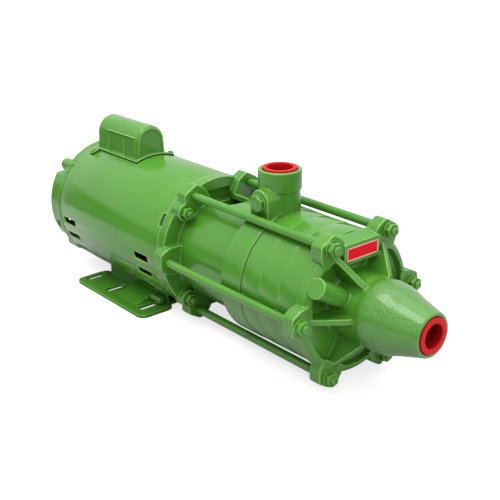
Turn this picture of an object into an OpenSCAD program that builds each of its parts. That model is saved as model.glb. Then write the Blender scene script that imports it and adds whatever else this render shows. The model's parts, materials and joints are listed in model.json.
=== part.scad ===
/* [Shaft line] */
// Height of the motor shell above the floor
shell_clear = 5.4; // [5.2:0.1:26]
// Radius of the motor's rotor seat on the shaft
core_seat_r = 13; // [12.6:0.1:16]
// Radius of the front bearing journal
front_journal_r = 10; // [9.8:0.1:10.8]
// Radius of the rear bearing journal
rear_journal_r = 8.5; // [7:0.1:10]
// Radius of the shaft inside the pump
pump_shaft_r = 9.5; // [8:0.1:9.7]
// Clearance of parts that turn past fixed ones
run_gap = 0.4; // [0.2:0.05:0.8]
// Clearance of fixed parts that fit into each other
fit_gap = 0.05; // [0.02:0.01:0.1]

/* [Motor] */
// Outer radius of the motor shell
shell_r = 83.5; // [80:0.1:84]
// Thickness of the shell's steel
shell_wall = 2; // [1.5:0.1:2.5]
// Rear edge of the shell along the shaft, from the foot's centre
shell_x = -113; // [-116:0.5:-110]
// Length of the shell
shell_len = 228; // [226:0.5:231]
// Length of one vent slot
vent_len = 28; // [15:1:30]
// Width of one vent slot
vent_w = 8.5; // [4:0.5:9]
// Depth of the rear end bell's bolt bosses behind the shell
bell_depth = 25; // [20:1:30]
// Depth of the rear end bell's deep band behind the shell
band_depth = 37; // [34:1:42]
// Distance of the long through bolts' axis from the shell's bore
bolt_inset = 5; // [4.5:0.1:6]
// Radius of a through bolt
bolt_r = 3.6; // [2.5:0.1:3.9]
// Length of the stator core
stator_len = 96; // [70:1:104]
// Depth of the stator core from its outside to its bore
stator_depth = 36.5; // [34:0.5:41]
// Air gap between stator and rotor
air_gap = 0.5; // [0.4:0.05:1]

/* [Foot] */
// Length of the foot plate
foot_len = 158; // [150:1:175]
// Width of the foot plate
foot_w = 182; // [176:1:190]
// Thickness of the foot plate
foot_t = 4; // [3:0.1:4.8]
// Distance across the two rows of slots, centre to centre
slot_across = 132; // [126:1:138]
// Overall length of a foot slot
slot_len = 28; // [18:1:32]
// Width of a foot slot
slot_w = 9; // [7:0.5:11]

/* [Capacitor cover] */
// Length of the cover
cover_len = 93; // [80:1:98]
// Width of the cover
cover_w = 43.5; // [40:0.5:46]
// Height of the cover's top above the floor
cover_top = 211.5; // [208:0.5:225]
// Sideways offset of the cover from the shaft plane
cover_y = -3.8; // [-8:0.1:8]
// Wall of the cover
cover_wall = 1.5; // [1:0.1:2.5]
// Thickness of the gasket under the cover
gasket_t = 1; // [0.6:0.1:2]

/* [Bracket] */
// Radius of the bracket's rim
rim_r = 84; // [83.8:0.1:86]
// Length of the rim in front of the shell
rim_len = 14; // [12:0.5:18]
// Outer radius of the lantern
lantern_r = 64.5; // [62:0.5:67]
// Wall of the lantern
lantern_wall = 7; // [5:0.5:9]
// Length of the lantern from the rim's face to the discharge casing
lantern_len = 96.6; // [85:0.1:110]
// Length of the lantern window
window_len = 51; // [40:1:56]
// Width of the lantern window
window_w = 34; // [28:1:40]

/* [Tie rods] */
// Radius of the circle of the tie rods
rod_circle_r = 82.7; // [82:0.1:84.5]
// Radius of a tie rod
rod_r = 4.76; // [4:0.01:5]
// Distance from a tie rod's axis to the flat top of its ear
ear_past_rod = 9.8; // [9:0.1:11.5]
// Thickness of an ear along the shaft
ear_t = 16; // [12:0.5:18]
// Width of a nut across its flats
nut_flats = 14.3; // [12.5:0.1:15.5]
// Height of a nut
nut_h = 6; // [5:0.5:9]
// Thickness of a washer
washer_t = 1.5; // [1:0.1:2.5]

/* [Pump casings] */
// Outer radius of the discharge casing
discharge_r = 76; // [75.6:0.1:77]
// Length of the discharge casing
discharge_len = 35.2; // [34:0.1:40]
// Outer radius of the stage casings
stage_r = 75.5; // [74.5:0.1:75.9]
// Length of one stage
stage_pitch = 28.05; // [27.5:0.05:31]
// Inner radius of the stage casings
stage_bore_r = 66.5; // [65.5:0.1:67.5]
// Thickness of the suction flange
flange_t = 15.5; // [14:0.5:20]
// Radius of the suction flange
flange_r = 77; // [76:0.1:77.5]
// Length of the nose in front of the suction flange
nose_len = 98; // [94:1:120]
// Thickness of the suction casing's ribs
rib_t = 6.5; // [4:0.5:9]
// Radius of the round blank boss
boss_r = 11; // [8:0.5:13]

/* [Ports] */
// Radius of the port threads, at their full depth
port_r = 19.48; // [18.5:0.02:20.5]
// Depth of the port threads
port_depth = 22; // [18:0.5:24]
// Distance of the discharge port from the casing's rear face
port_back = 12.8; // [12:0.1:18]
// Height of the discharge port's face above the shaft axis
port_h = 119.6; // [116:0.1:135]
// Outer radius of the discharge port's collar
collar_r = 24.3; // [23.5:0.1:27]
// Height of the collar
collar_len = 22.5; // [15:0.5:24]
// Inner radius of a thread protector
protector_bore_r = 12.8; // [9:0.1:15]
// Wall of a thread protector's bottom
protector_bottom = 2; // [1:0.5:4]
// Height of the priming plug's axis above the shaft axis
plug_h = 87.4; // [86:0.1:89]
// Width of the priming plug's head across its flats
plug_flats = 17; // [12:0.5:19]

/* [Stages] */
// Number of vanes in an impeller
impeller_vanes = 6; // [4:1:8]
// Outer radius of an impeller
impeller_r = 62; // [56:0.5:64]
// Radius of an impeller's eye
eye_r = 20; // [17:0.5:21]
// Height of an impeller's water passage
passage_h = 7; // [5:0.5:7.5]
// Thickness of an impeller's discs
disc_t = 2; // [1.5:0.1:2.4]
// Thickness of the vanes
vane_t = 2.2; // [1.5:0.1:3]
// Number of return vanes in a diffuser
return_vanes = 8; // [5:1:10]

/* [Hidden] */

enamel = "#5aa045";
steel = "#c9ccce";
cast_iron = "#8d9092";
black_rubber = "#1c1c1c";
copper = "#b8733c";
brass = "#c8a24a";
red_plastic = "#dc2430";

round_n = 96;
small_n = 32;
overcut = 1;

// Height of the shaft axis above the floor
shaft_h = shell_r + shell_clear;
shell_front_x = shell_x + shell_len;
shell_bore_r = shell_r - shell_wall;
bolt_circle_r = shell_bore_r - bolt_inset;
stator_bore_r = shell_bore_r - stator_depth;
rim_x = shell_front_x + rim_len;
ear_x = rim_x + 8;
discharge_x = rim_x + lantern_len;
stage_x = discharge_x + discharge_len;
stage_count = 3;
suction_x = stage_x + stage_count * stage_pitch;
flange_x = suction_x + flange_t;
nose_x = flange_x + nose_len;
rod_end_x = flange_x + washer_t + nut_h + 3;

ear_angles = [0, 60, 120, 180, 240, 300];
bolt_angles = [45, 135, 225, 315];
ear_reach = rod_circle_r + ear_past_rod;
washer_r = ear_past_rod - 0.9;
ear_half_top = 10;
ear_half_root = 17;
ear_edge = 3;

foot_x = 7;
foot_corner = 12;
slot_x = [-63.5, -12.7, 63.5];
web_y = 40;
web_t = 3;
floor_x = -14;
saddle_x = 6;
saddle_len = 46;
saddle_toe = 78;
saddle_rise = 14;

spigot_len = 3;
spigot_r = 70.5;
spigot_space = 0.6;
spigot_play = 0.15;

front_bearing_x = 100;
front_bearing_w = 14;
front_bearing_r = 23.5;
rear_bearing_w = 12;
rear_bearing_r = 20;
rear_bearing_x = shell_x - 14;
ball_count = 8;

core_x = 5 - stator_len / 2;
winding_len = 24;

port_x = discharge_x + port_back;
port_face_z = shaft_h + port_h;
neck_r = collar_r - 1.8;
plug_x = port_x + 4;
plug_face_y = -33.5;
plug_boss_r = 14.5;
plug_thread_r = 6.5;
plug_gap = 0.1;
plug_washer_t = 1;
protector_gap = 0.3;
protector_lip = 1.5;

hub_r = 15;
sleeve_r = 13;
neck_len = 4;
eye_wall = 4;
partition_t = 3.3;
wear_ring_r = 28;
diffuser_plate_t = 3;
eye_gap_x = 1.5;
key_w = 5;
key_h = 2.3;

function unit(v) = v / norm(v);

// Corner of an outline as a short curve that starts and ends a cut away from the corner
function corner(a, p, b, cut) = [for (t = [0:0.25:1])
    pow(1 - t, 2) * (p + cut * unit(a - p)) + 2 * t * (1 - t) * p + pow(t, 2) * (p + cut * unit(b - p))];

function softened(pts, cut) = [for (i = [0:len(pts) - 1])
    each corner(pts[(i + len(pts) - 1) % len(pts)], pts[i], pts[(i + 1) % len(pts)], is_list(cut) ? cut[i] : cut)];

function rectangle(w, h) = [[-w / 2, -h / 2], [w / 2, -h / 2], [w / 2, h / 2], [-w / 2, h / 2]];

// Smooth curve through three guide points, for the flowing parts of a turned profile
function bow(a, p, b, steps = 6) = [for (i = [0:steps]) let (t = i / steps)
    pow(1 - t, 2) * a + 2 * t * (1 - t) * p + pow(t, 2) * b];

// Centre line of a backswept vane from radius r0 to r1
function sweep_at(r0, r1, wrap, t) = let (r = r0 + (r1 - r0) * t, a = wrap * t) [r * cos(a), r * sin(a)];

function vane_outline(r0, r1, wrap, thick, steps = 6) = let (
    mid = [for (i = [0:steps]) sweep_at(r0, r1, wrap, i / steps)],
    side = [for (i = [0:steps]) let (
        d = unit(mid[min(i + 1, steps)] - mid[max(i - 1, 0)])) thick / 2 * [-d[1], d[0]]])
    concat([for (i = [0:steps]) mid[i] + side[i]], [for (i = [steps:-1:0]) mid[i] - side[i]]);

// Frame with z along the shaft, x to the far side and y up
module shaft_frame(x = 0) {
    translate([x, 0, shaft_h])
        rotate([90, 0, 90])
            children();
}

// Copies around the shaft, each with x pointing outwards
module around(x, angles) {
    for (a = angles)
        shaft_frame(x)
            rotate([0, 0, a])
                children();
}

// Body of revolution about the shaft from points [x, radius]
module turned(profile) {
    shaft_frame()
        rotate_extrude($fn = round_n)
            polygon([for (p = profile) [p[1], p[0]]]);
}

module ring(x, len, outer, inner) {
    turned([[x, inner], [x + len, inner], [x + len, outer], [x, outer]]);
}

module bar_at(radius, x, len, r, angles) {
    around(x, angles)
        translate([radius, 0, 0])
            cylinder(r = r, h = len, $fn = small_n);
}

module hex_at(radius, x, len, flats, angles) {
    around(x, angles)
        translate([radius, 0, 0])
            rotate([0, 0, 30])
                cylinder(r = flats / sqrt(3), h = len, $fn = 6);
}

function ear_points(root) = [[root, -ear_half_root], [ear_reach - 13, -ear_half_root],
    [ear_reach, -ear_half_top], [ear_reach, ear_half_top], [ear_reach - 13, ear_half_root],
    [root, ear_half_root]];

module ears(x, len, root) {
    around(x, ear_angles)
        linear_extrude(len)
            polygon(softened(ear_points(root), ear_edge));
}

// Motor

foot_back_x = foot_x - foot_len / 2;
foot_front_x = foot_x + foot_len / 2;
saddle_end_x = saddle_x + saddle_len;

// One side's upright webs and the sloped saddle panel between them
module foot_side() {
    web_back_x = foot_back_x + foot_corner;
    web_front_x = foot_front_x - foot_corner;
    translate([web_back_x, web_y, 0])
        cube([saddle_x + 2 - web_back_x, web_t, shaft_h]);
    translate([saddle_end_x - 8, web_y, 0])
        cube([web_front_x - saddle_end_x + 8, web_t, shaft_h]);
    translate([saddle_x, 0, 0])
        rotate([90, 0, 90])
            linear_extrude(saddle_len)
                polygon([[saddle_toe, foot_t - 1], [saddle_toe, foot_t], [web_y + 6, foot_t + saddle_rise - 5],
                    [web_y - 2, foot_t + saddle_rise], [web_y - 8, foot_t + saddle_rise], [web_y - 8, foot_t - 1]]);
}

module motor_foot() {
    color(enamel)
        difference() {
            union() {
                for (side = [-1, 1])
                    translate([foot_x, side * (foot_w / 2 + web_y) / 2, 0])
                        linear_extrude(foot_t)
                            polygon(softened(rectangle(foot_len, foot_w / 2 - web_y), foot_corner));
                translate([floor_x, -web_y - 5, 0])
                    cube([foot_front_x - foot_corner - floor_x, 2 * web_y + 10, foot_t]);
                foot_side();
                mirror([0, 1, 0])
                    foot_side();
            }
            shaft_frame(foot_back_x - overcut)
                cylinder(r = shell_r + fit_gap, h = foot_len + 2 * overcut, $fn = round_n);
            for (x = slot_x, side = [-1, 1])
                translate([x, side * slot_across / 2, -overcut])
                    foot_slot();
        }
}

module foot_slot() {
    straight = slot_len - slot_w;
    translate([-slot_w / 2, -straight / 2, 0])
        cube([slot_w, straight, foot_t + 2 * overcut]);
    for (side = [-1, 1])
        translate([0, side * straight / 2, 0])
            cylinder(d = slot_w, h = foot_t + 2 * overcut, $fn = small_n);
}

vent_from_rear = 9;
vent_from_front = 22;

module vent_row(x) {
    around(x, [-7, -22, -38, 187, 202, 218])
        translate([shell_r, 0, vent_len / 2])
            rotate([0, 90, 0])
                translate([0, 0, -shell_wall - 2])
                    linear_extrude(2 * shell_wall + 4)
                        polygon(softened(rectangle(vent_len, vent_w), vent_w * 0.4));
}

module motor_shell() {
    color(enamel)
        difference() {
            ring(shell_x, shell_len, shell_r, shell_bore_r);
            vent_row(shell_x + vent_from_rear);
            vent_row(shell_front_x - vent_from_front - vent_len);
            around(shell_front_x - 3, [31.5, 148.5])
                translate([shell_r - 5, -7, 0])
                    cube([10, 14, 5]);
            cover_screw_bars(shell_r - 5, 10, cover_screw_r + 0.2);
        }
}

bell_wall = 4;
band_half = 43;
band_r = shell_r - 3.5;

// The deep band that crosses the bell from side to side, made smaller all round by inset
module bell_band(inset) {
    back = shell_x - band_depth + inset;
    edge_r = band_r - inset;
    intersection() {
        turned([[back, 0], [back, edge_r - 6], [back + 6, edge_r], [shell_x - 6, edge_r], [shell_x - 6, 0]]);
        translate([back - overcut, -band_r, shaft_h - band_half + inset])
            cube([band_depth + overcut, 2 * band_r, 2 * (band_half - inset)]);
    }
}

module rear_end_bell() {
    back = shell_x - bell_depth;
    dome_x = shell_x - 18;
    color(enamel)
        difference() {
            union() {
                difference() {
                    union() {
                        turned(concat([[shell_x + 6, 0], [shell_x + 6, shell_bore_r - fit_gap],
                            [shell_x, shell_bore_r - fit_gap], [shell_x, shell_r]],
                            bow([shell_x - 8, shell_r], [shell_x - 12, shell_r - 1], [shell_x - 13, shell_r - 8]),
                            [[dome_x, 55], [dome_x, 0]]));
                        bell_band(0);
                    }
                    turned([[dome_x + bell_wall, 0], [dome_x + bell_wall, 52], [shell_x - 8, shell_r - 15],
                        [shell_x - 4, shell_r - bell_wall - 2], [shell_x + 7, shell_r - bell_wall - 2],
                        [shell_x + 7, 0]]);
                    bell_band(bell_wall);
                }
                bar_at(bolt_circle_r, back, bell_depth - 1, 8.5, bolt_angles);
                ring(shell_x - band_depth + 1, band_depth - 2, rear_bearing_r + 5, 0);
            }
            bar_at(bolt_circle_r, back - overcut, bell_depth + 12, bolt_r + 0.3, bolt_angles);
            shaft_frame(rear_bearing_x - 2)
                cylinder(r = rear_bearing_r + fit_gap, h = bell_depth, $fn = round_n);
            around(shell_x - band_depth - overcut, [-28, -14, 0, 14, 28, 152, 166, 180, 194, 208])
                translate([42, -3.5, 0])
                    cube([18, 7, bell_wall + 2 * overcut]);
            around(shell_x - 24, [-19, 199])
                translate([band_r - 12, -5, 0])
                    cube([20, 10, 12]);
            around(shell_x - grommet_back, [14])
                translate([band_r - 12, 0, 0])
                    rotate([0, 90, 0])
                        cylinder(r = grommet_r, h = 20, $fn = small_n);
        }
}

grommet_r = 6;
grommet_back = 20;

module cable_grommet() {
    color(black_rubber)
        around(shell_x - grommet_back, [14])
            rotate([0, 90, 0])
                difference() {
                    union() {
                        translate([0, 0, band_r - bell_wall - 2])
                            cylinder(r = grommet_r - fit_gap, h = bell_wall + 3, $fn = small_n);
                        translate([0, 0, band_r + 0.1])
                            cylinder(r = grommet_r + 1.5, h = 2, $fn = small_n);
                    }
                    translate([0, 0, band_r - 10])
                        cylinder(r = 3.5, h = 20, $fn = small_n);
                }
}

// Opening through the lantern's wall, from the rim's face to a round end
module window_cut() {
    reach = window_len - window_w / 2;
    inside = lantern_r - lantern_wall - 4;
    outside = lantern_r + 5.5;
    translate([inside, -window_w / 2, 0])
        cube([outside - inside, window_w, reach]);
    translate([inside, 0, reach])
        rotate([0, 90, 0])
            cylinder(d = window_w, h = outside - inside, $fn = round_n);
}

module pump_bracket() {
    seat_back = front_bearing_x - 2;
    bearing_front = front_bearing_x + front_bearing_w;
    wall_x = rim_x - 10;
    lip_r = 40 + spigot_play;
    ear_back = ear_x - ear_t;
    color(enamel)
        difference() {
            union() {
                turned([[shell_front_x - 9, 64], [shell_front_x - 9, shell_bore_r - fit_gap],
                    [shell_front_x, shell_bore_r - fit_gap], [shell_front_x, rim_r], [rim_x - 1, rim_r],
                    [rim_x, rim_r - 1], [rim_x, lantern_r + 1.5], [rim_x + 1.5, lantern_r],
                    [discharge_x, lantern_r], [discharge_x, lip_r], [discharge_x - 8, lip_r],
                    [discharge_x - 12, lantern_r - lantern_wall], [rim_x, lantern_r - lantern_wall],
                    [rim_x, 26], [bearing_front + 4, pump_shaft_r + 3.5], [bearing_front, pump_shaft_r + 3.5],
                    [bearing_front, front_bearing_r + fit_gap], [seat_back, front_bearing_r + fit_gap],
                    [seat_back, front_bearing_r + 7], [wall_x, front_bearing_r + 11], [wall_x, 64]]);
                ears(ear_back, ear_t, lantern_r - 4);
                bar_at(bolt_circle_r, ear_back, ear_t, 10.5, bolt_angles);
            }
            bar_at(rod_circle_r, ear_back - overcut, ear_t + 2 * overcut, rod_r + fit_gap, ear_angles);
            bar_at(bolt_circle_r, shell_front_x - 10, ear_x - shell_front_x + 11, bolt_r + 0.3, bolt_angles);
            around(rim_x - 6, [90, 270])
                window_cut();
            around(shell_front_x - overcut, [270])
                linear_extrude(rim_len + 2 * overcut)
                    polygon([[lantern_r + 2, -18.5], [rim_r + 3, -31], [rim_r + 3, 31], [lantern_r + 2, 18.5]]);
        }
}

module through_bolts() {
    head_x = shell_x - bell_depth;
    color(steel) {
        bar_at(bolt_circle_r, head_x, ear_x + nut_h + 3.5 - head_x, bolt_r, bolt_angles);
        hex_at(bolt_circle_r, head_x - 5, 5, 11, bolt_angles);
    }
}

module through_bolt_nuts() {
    color(enamel)
        difference() {
            hex_at(bolt_circle_r, ear_x, nut_h, 13, bolt_angles);
            bar_at(bolt_circle_r, ear_x - overcut, nut_h + 2 * overcut, bolt_r + fit_gap, bolt_angles);
        }
}

module stator_core() {
    color(cast_iron)
        difference() {
            ring(core_x, stator_len, shell_bore_r - fit_gap, stator_bore_r);
            bar_at(bolt_circle_r, core_x - overcut, stator_len + 2 * overcut, bolt_r + 0.6, bolt_angles);
            bar_at(bolt_circle_r + 4, core_x - overcut, stator_len + 2 * overcut, bolt_r + 0.6, bolt_angles);
        }
}

module end_turns(x) {
    winding_r = shell_bore_r - 11.5;
    turned(softened([[x, stator_bore_r + 6], [x + winding_len, stator_bore_r + 6],
        [x + winding_len, winding_r], [x, winding_r]], 7));
}

module stator_windings() {
    color(copper) {
        end_turns(core_x - winding_len);
        end_turns(core_x + stator_len);
    }
}

module start_switch() {
    x = shell_x - 1;
    color(black_rubber)
        difference() {
            ring(x, 2.5, 34, rear_bearing_r + 1);
            around(x - overcut, [240])
                translate([20, -40, 0])
                    cube([40, 40, 6]);
        }
}

module wave_spring() {
    color(steel)
        ring(rear_bearing_x - 2, 2, rear_bearing_r - 1, rear_bearing_r - 5);
}

// Capacitor and its cover

module arch(w, top) {
    r = w / 2;
    translate([-r, 0])
        square([w, top - r]);
    translate([0, top - r])
        circle(r = r, $fn = small_n);
}

module arch_block(x, len, inset) {
    translate([x, cover_y, shaft_h])
        rotate([90, 0, 90])
            linear_extrude(len)
                arch(cover_w - 2 * inset, cover_top - shaft_h - inset);
}

cover_x = -98;
cover_edge = 4;
flange_lip = 3;
flange_w = 1.5;
cover_screw_r = 2;
skin_r = shell_r + gasket_t;

function cover_screw_places() = [[cover_x + 3, cover_y - cover_w / 2 - 9.5],
    [cover_x + cover_len - 2, cover_y + cover_w / 2 + 9.5]];

// Bars that point outwards from the shaft at the two cover screws
module cover_screw_bars(from, len, r) {
    for (p = cover_screw_places())
        around(p[0], [acos(p[1] / skin_r)])
            rotate([0, 90, 0])
                translate([0, 0, from])
                    cylinder(r = r, h = len, $fn = small_n);
}

module cover_footprint(extra) {
    tall = shell_r + 6;
    translate([cover_x - extra, cover_y - cover_w / 2 - extra, shaft_h])
        cube([cover_len + 2 * extra, cover_w + 2 * extra, tall]);
    for (p = cover_screw_places()) {
        translate([p[0] - extra - 1.5, min(p[1], cover_y), shaft_h])
            cube([2 * extra + 3, abs(p[1] - cover_y), tall]);
        translate([p[0], p[1], shaft_h])
            cylinder(r = extra + 1.5, h = tall, $fn = small_n);
    }
}

module capacitor_cover() {
    color(enamel)
        difference() {
            union() {
                hull() {
                    arch_block(cover_x, cover_len, cover_edge);
                    arch_block(cover_x + 1.2, cover_len - 2.4, 1.2);
                    arch_block(cover_x + cover_edge, cover_len - 2 * cover_edge, 0);
                }
                intersection() {
                    cover_footprint(flange_lip);
                    ring(cover_x - 20, cover_len + 40, skin_r + flange_w, skin_r - 5);
                }
            }
            arch_block(cover_x + cover_edge, cover_len - 2 * cover_edge, cover_wall + 0.5);
            shaft_frame(cover_x - 20)
                cylinder(r = skin_r, h = cover_len + 40, $fn = round_n);
            cover_screw_bars(shell_r - 5, 15, cover_screw_r + 0.2);
        }
}

module cover_gasket() {
    color(black_rubber)
        difference() {
            intersection() {
                cover_footprint(flange_lip + 0.6);
                ring(cover_x - 20, cover_len + 40, skin_r - fit_gap, shell_r + fit_gap);
            }
            arch_block(cover_x + cover_edge, cover_len - 2 * cover_edge, cover_wall + 0.5);
            cover_screw_bars(shell_r - 5, 15, cover_screw_r + 0.2);
        }
}

module cover_screws() {
    seat = skin_r + flange_w;
    color(steel) {
        cover_screw_bars(shell_bore_r + 0.3, seat + 1 - shell_bore_r, cover_screw_r);
        cover_screw_bars(seat, 2.2, 3.6);
    }
}

module start_capacitor() {
    low = shaft_h + shell_r + 0.5;
    r = min(cover_w / 2 - cover_wall - 1.2, (cover_top - cover_wall - 1.5 - low) / 2);
    color(black_rubber)
        translate([cover_x + 8, cover_y, low + r])
            rotate([0, 90, 0])
                cylinder(r = r, h = cover_len - 16, $fn = round_n);
}

// Bearings

function ball_r(outer, inner) = (outer - inner) * 0.29;

module bearing_outer(x, w, outer, inner) {
    pitch = (outer + inner) / 2;
    r = ball_r(outer, inner);
    difference() {
        ring(x, w, outer, pitch + r * 0.62);
        shaft_frame(x + w / 2)
            rotate_extrude($fn = round_n)
                translate([pitch, 0])
                    circle(r = r + 0.06, $fn = small_n);
    }
}

module bearing_inner(x, w, outer, inner) {
    pitch = (outer + inner) / 2;
    r = ball_r(outer, inner);
    difference() {
        ring(x, w, pitch - r * 0.62, inner);
        shaft_frame(x + w / 2)
            rotate_extrude($fn = round_n)
                translate([pitch, 0])
                    circle(r = r + 0.06, $fn = small_n);
    }
}

module balls(x, w, outer, inner, r) {
    around(x + w / 2, [for (i = [0:ball_count - 1]) i * 360 / ball_count])
        translate([(outer + inner) / 2, 0, 0])
            sphere(r = r, $fn = small_n);
}

// Ring cage with one round pocket, bored outwards, for each ball
module cage(x, w, outer, inner) {
    pitch = (outer + inner) / 2;
    r = ball_r(outer, inner);
    difference() {
        ring(x + 2, w - 4, pitch + r * 0.42, pitch - r * 0.42);
        around(x + w / 2, [for (i = [0:ball_count - 1]) i * 360 / ball_count])
            rotate([0, 90, 0])
                cylinder(r = r + 0.1, h = outer, $fn = small_n);
    }
}

module front_bearing_outer_ring() {
    color(steel)
        bearing_outer(front_bearing_x, front_bearing_w, front_bearing_r, front_journal_r);
}

module rear_bearing_outer_ring() {
    color(steel)
        bearing_outer(rear_bearing_x, rear_bearing_w, rear_bearing_r, rear_journal_r);
}

module front_bearing_inner_ring() {
    color(steel)
        bearing_inner(front_bearing_x, front_bearing_w, front_bearing_r, front_journal_r);
}

module rear_bearing_inner_ring() {
    color(steel)
        bearing_inner(rear_bearing_x, rear_bearing_w, rear_bearing_r, rear_journal_r);
}

module bearing_balls() {
    color(steel) {
        balls(front_bearing_x, front_bearing_w, front_bearing_r, front_journal_r,
            ball_r(front_bearing_r, front_journal_r));
        balls(rear_bearing_x, rear_bearing_w, rear_bearing_r, rear_journal_r,
            ball_r(rear_bearing_r, rear_journal_r));
    }
}

module bearing_cages() {
    color(brass) {
        cage(front_bearing_x, front_bearing_w, front_bearing_r, front_journal_r);
        cage(rear_bearing_x, rear_bearing_w, rear_bearing_r, rear_journal_r);
    }
}

// Rotating parts

eye_face = stage_pitch - spigot_len - spigot_space - partition_t;
front_disc_x = eye_face - eye_gap_x - disc_t;
back_disc_x = front_disc_x - passage_h - disc_t;
hub_front = front_disc_x;
hub_back = back_disc_x - 1;
last_hub_x = stage_x + 2 * stage_pitch + hub_front;
thread_x = last_hub_x + 12;

rear_shaft_r = rear_journal_r + 2.5;
front_shaft_r = front_journal_r + 1.5;

module pump_shaft() {
    color(steel)
        difference() {
            turned([[rear_bearing_x, 0], [rear_bearing_x, rear_journal_r],
                [rear_bearing_x + rear_bearing_w, rear_journal_r], [rear_bearing_x + rear_bearing_w, rear_shaft_r],
                [core_x - 8, rear_shaft_r], [core_x - 8, core_seat_r], [core_x + stator_len + 8, core_seat_r],
                [core_x + stator_len + 8, front_shaft_r], [front_bearing_x, front_shaft_r],
                [front_bearing_x, front_journal_r],
                [front_bearing_x + front_bearing_w, front_journal_r],
                [front_bearing_x + front_bearing_w, pump_shaft_r], [thread_x, pump_shaft_r],
                [thread_x + 1, pump_shaft_r - 1], [thread_x + 1, 0]]);
            key_way();
        }
}

module key_way() {
    x = first_sleeve_x;
    shaft_frame(x)
        translate([pump_shaft_r - 3, -key_w / 2, 0])
            cube([3 + key_h, key_w, last_hub_x - x]);
}

module impeller_key() {
    color(steel)
        key_way();
}

module rotor_core() {
    color(cast_iron) {
        ring(core_x, stator_len, stator_bore_r - air_gap, core_seat_r);
        ring(core_x - 8, 8, stator_bore_r - 4, 30);
        ring(core_x + stator_len, 8, stator_bore_r - 4, 30);
    }
}

module cooling_fan() {
    x = core_x + stator_len + 10;
    hub_r = front_shaft_r + 5.5;
    hub_len = 18;
    fan_r = stator_bore_r + 1;
    blade_t = 2;
    color(black_rubber) {
        ring(x, hub_len, hub_r, front_shaft_r);
        ring(x + hub_len - blade_t, blade_t, fan_r, hub_r - 1);
        around(x, [for (i = [0:8]) i * 40])
            translate([hub_r - 1, -blade_t / 2, 0])
                cube([fan_r - hub_r + 1, blade_t, hub_len - 1.5]);
    }
}

module start_governor() {
    x = shell_x + 8;
    hub_r = rear_shaft_r + 4;
    hub_len = 20;
    color(brass) {
        ring(x, hub_len, hub_r, rear_shaft_r);
        ring(x, 3, hub_r + 9, hub_r - 1);
        ring(x + hub_len - 3, 2, hub_r + 13, hub_r - 1);
        around(x + 3, [0, 180])
            translate([hub_r - 1, -6, 0])
                cube([7, 12, hub_len - 5.5]);
    }
}

module water_slinger() {
    x = rim_x + 22;
    lip_r = pump_shaft_r + 12.5;
    color(black_rubber)
        turned([[x, pump_shaft_r], [x + 9, pump_shaft_r], [x + 9, pump_shaft_r + 4], [x + 6, pump_shaft_r + 5],
            [x + 4, lip_r], [x + 2, lip_r], [x + 2, pump_shaft_r + 5], [x, pump_shaft_r + 4]]);
}

seat_x = discharge_x + 2.4;
seat_len = 8;
head_len = 20;
head_x = seat_x + seat_len + 0.1;
first_sleeve_x = head_x + head_len;

module seal_rotating_head() {
    x = head_x;
    color(black_rubber)
        turned([[x, 11.5], [x, 15.5], [x + 3, 15.5], [x + 3, 17], [x + 8, 17], [x + 9, 15.5], [x + 11, 17],
            [x + 13, 15.5], [x + 15, 17], [x + 17, 15], [x + head_len, 15], [x + head_len, pump_shaft_r],
            [x + 6, pump_shaft_r], [x + 6, 11.5]]);
}

module impeller(k) {
    color(brass)
        translate([stage_x + k * stage_pitch, 0, 0])
            difference() {
                union() {
                    turned([[hub_back, pump_shaft_r], [hub_back, hub_r], [back_disc_x, hub_r + 2],
                        [back_disc_x, impeller_r], [back_disc_x + disc_t, impeller_r],
                        [back_disc_x + disc_t, hub_r + 5], [hub_front, hub_r - 1], [hub_front, pump_shaft_r]]);
                    turned([[front_disc_x, eye_r + 5], [front_disc_x, impeller_r],
                        [front_disc_x + disc_t, impeller_r], [front_disc_x + disc_t, eye_r + eye_wall],
                        [front_disc_x + disc_t + neck_len, eye_r + eye_wall],
                        [front_disc_x + disc_t + neck_len, eye_r],
                        [front_disc_x + 1, eye_r]]);
                    around(back_disc_x + disc_t - 0.5, [for (i = [0:impeller_vanes - 1]) i * 360 / impeller_vanes])
                        linear_extrude(passage_h + 1)
                            polygon(vane_outline(eye_r + 2, impeller_r - 1, 75, vane_t));
                }
                translate([-stage_x - k * stage_pitch, 0, 0])
                    key_way();
            }
}

module spacer_sleeves() {
    color(steel)
        difference() {
            union() {
                ring(first_sleeve_x, stage_x + hub_back - first_sleeve_x, sleeve_r, pump_shaft_r);
                for (k = [1, 2])
                    ring(stage_x + (k - 1) * stage_pitch + hub_front, stage_pitch - hub_front + hub_back, sleeve_r,
                        pump_shaft_r);
            }
            key_way();
        }
}

module impeller_washer() {
    color(steel)
        ring(last_hub_x, 2, 14, pump_shaft_r);
}

module impeller_nut() {
    color(brass)
        difference() {
            shaft_frame(last_hub_x + 2)
                cylinder(r = 15, h = 9, $fn = 6);
            shaft_frame(last_hub_x)
                cylinder(r = pump_shaft_r, h = 20, $fn = small_n);
        }
}

// Pump

module port_boss() {
    translate([plug_x, plug_face_y, shaft_h + plug_h])
        rotate([-90, 0, 0]) {
            cylinder(r = plug_boss_r, h = -plug_face_y, $fn = round_n);
            translate([-plug_boss_r, 0, 0])
                cube([2 * plug_boss_r, plug_h - lantern_r - 2, -plug_face_y]);
        }
}

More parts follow.
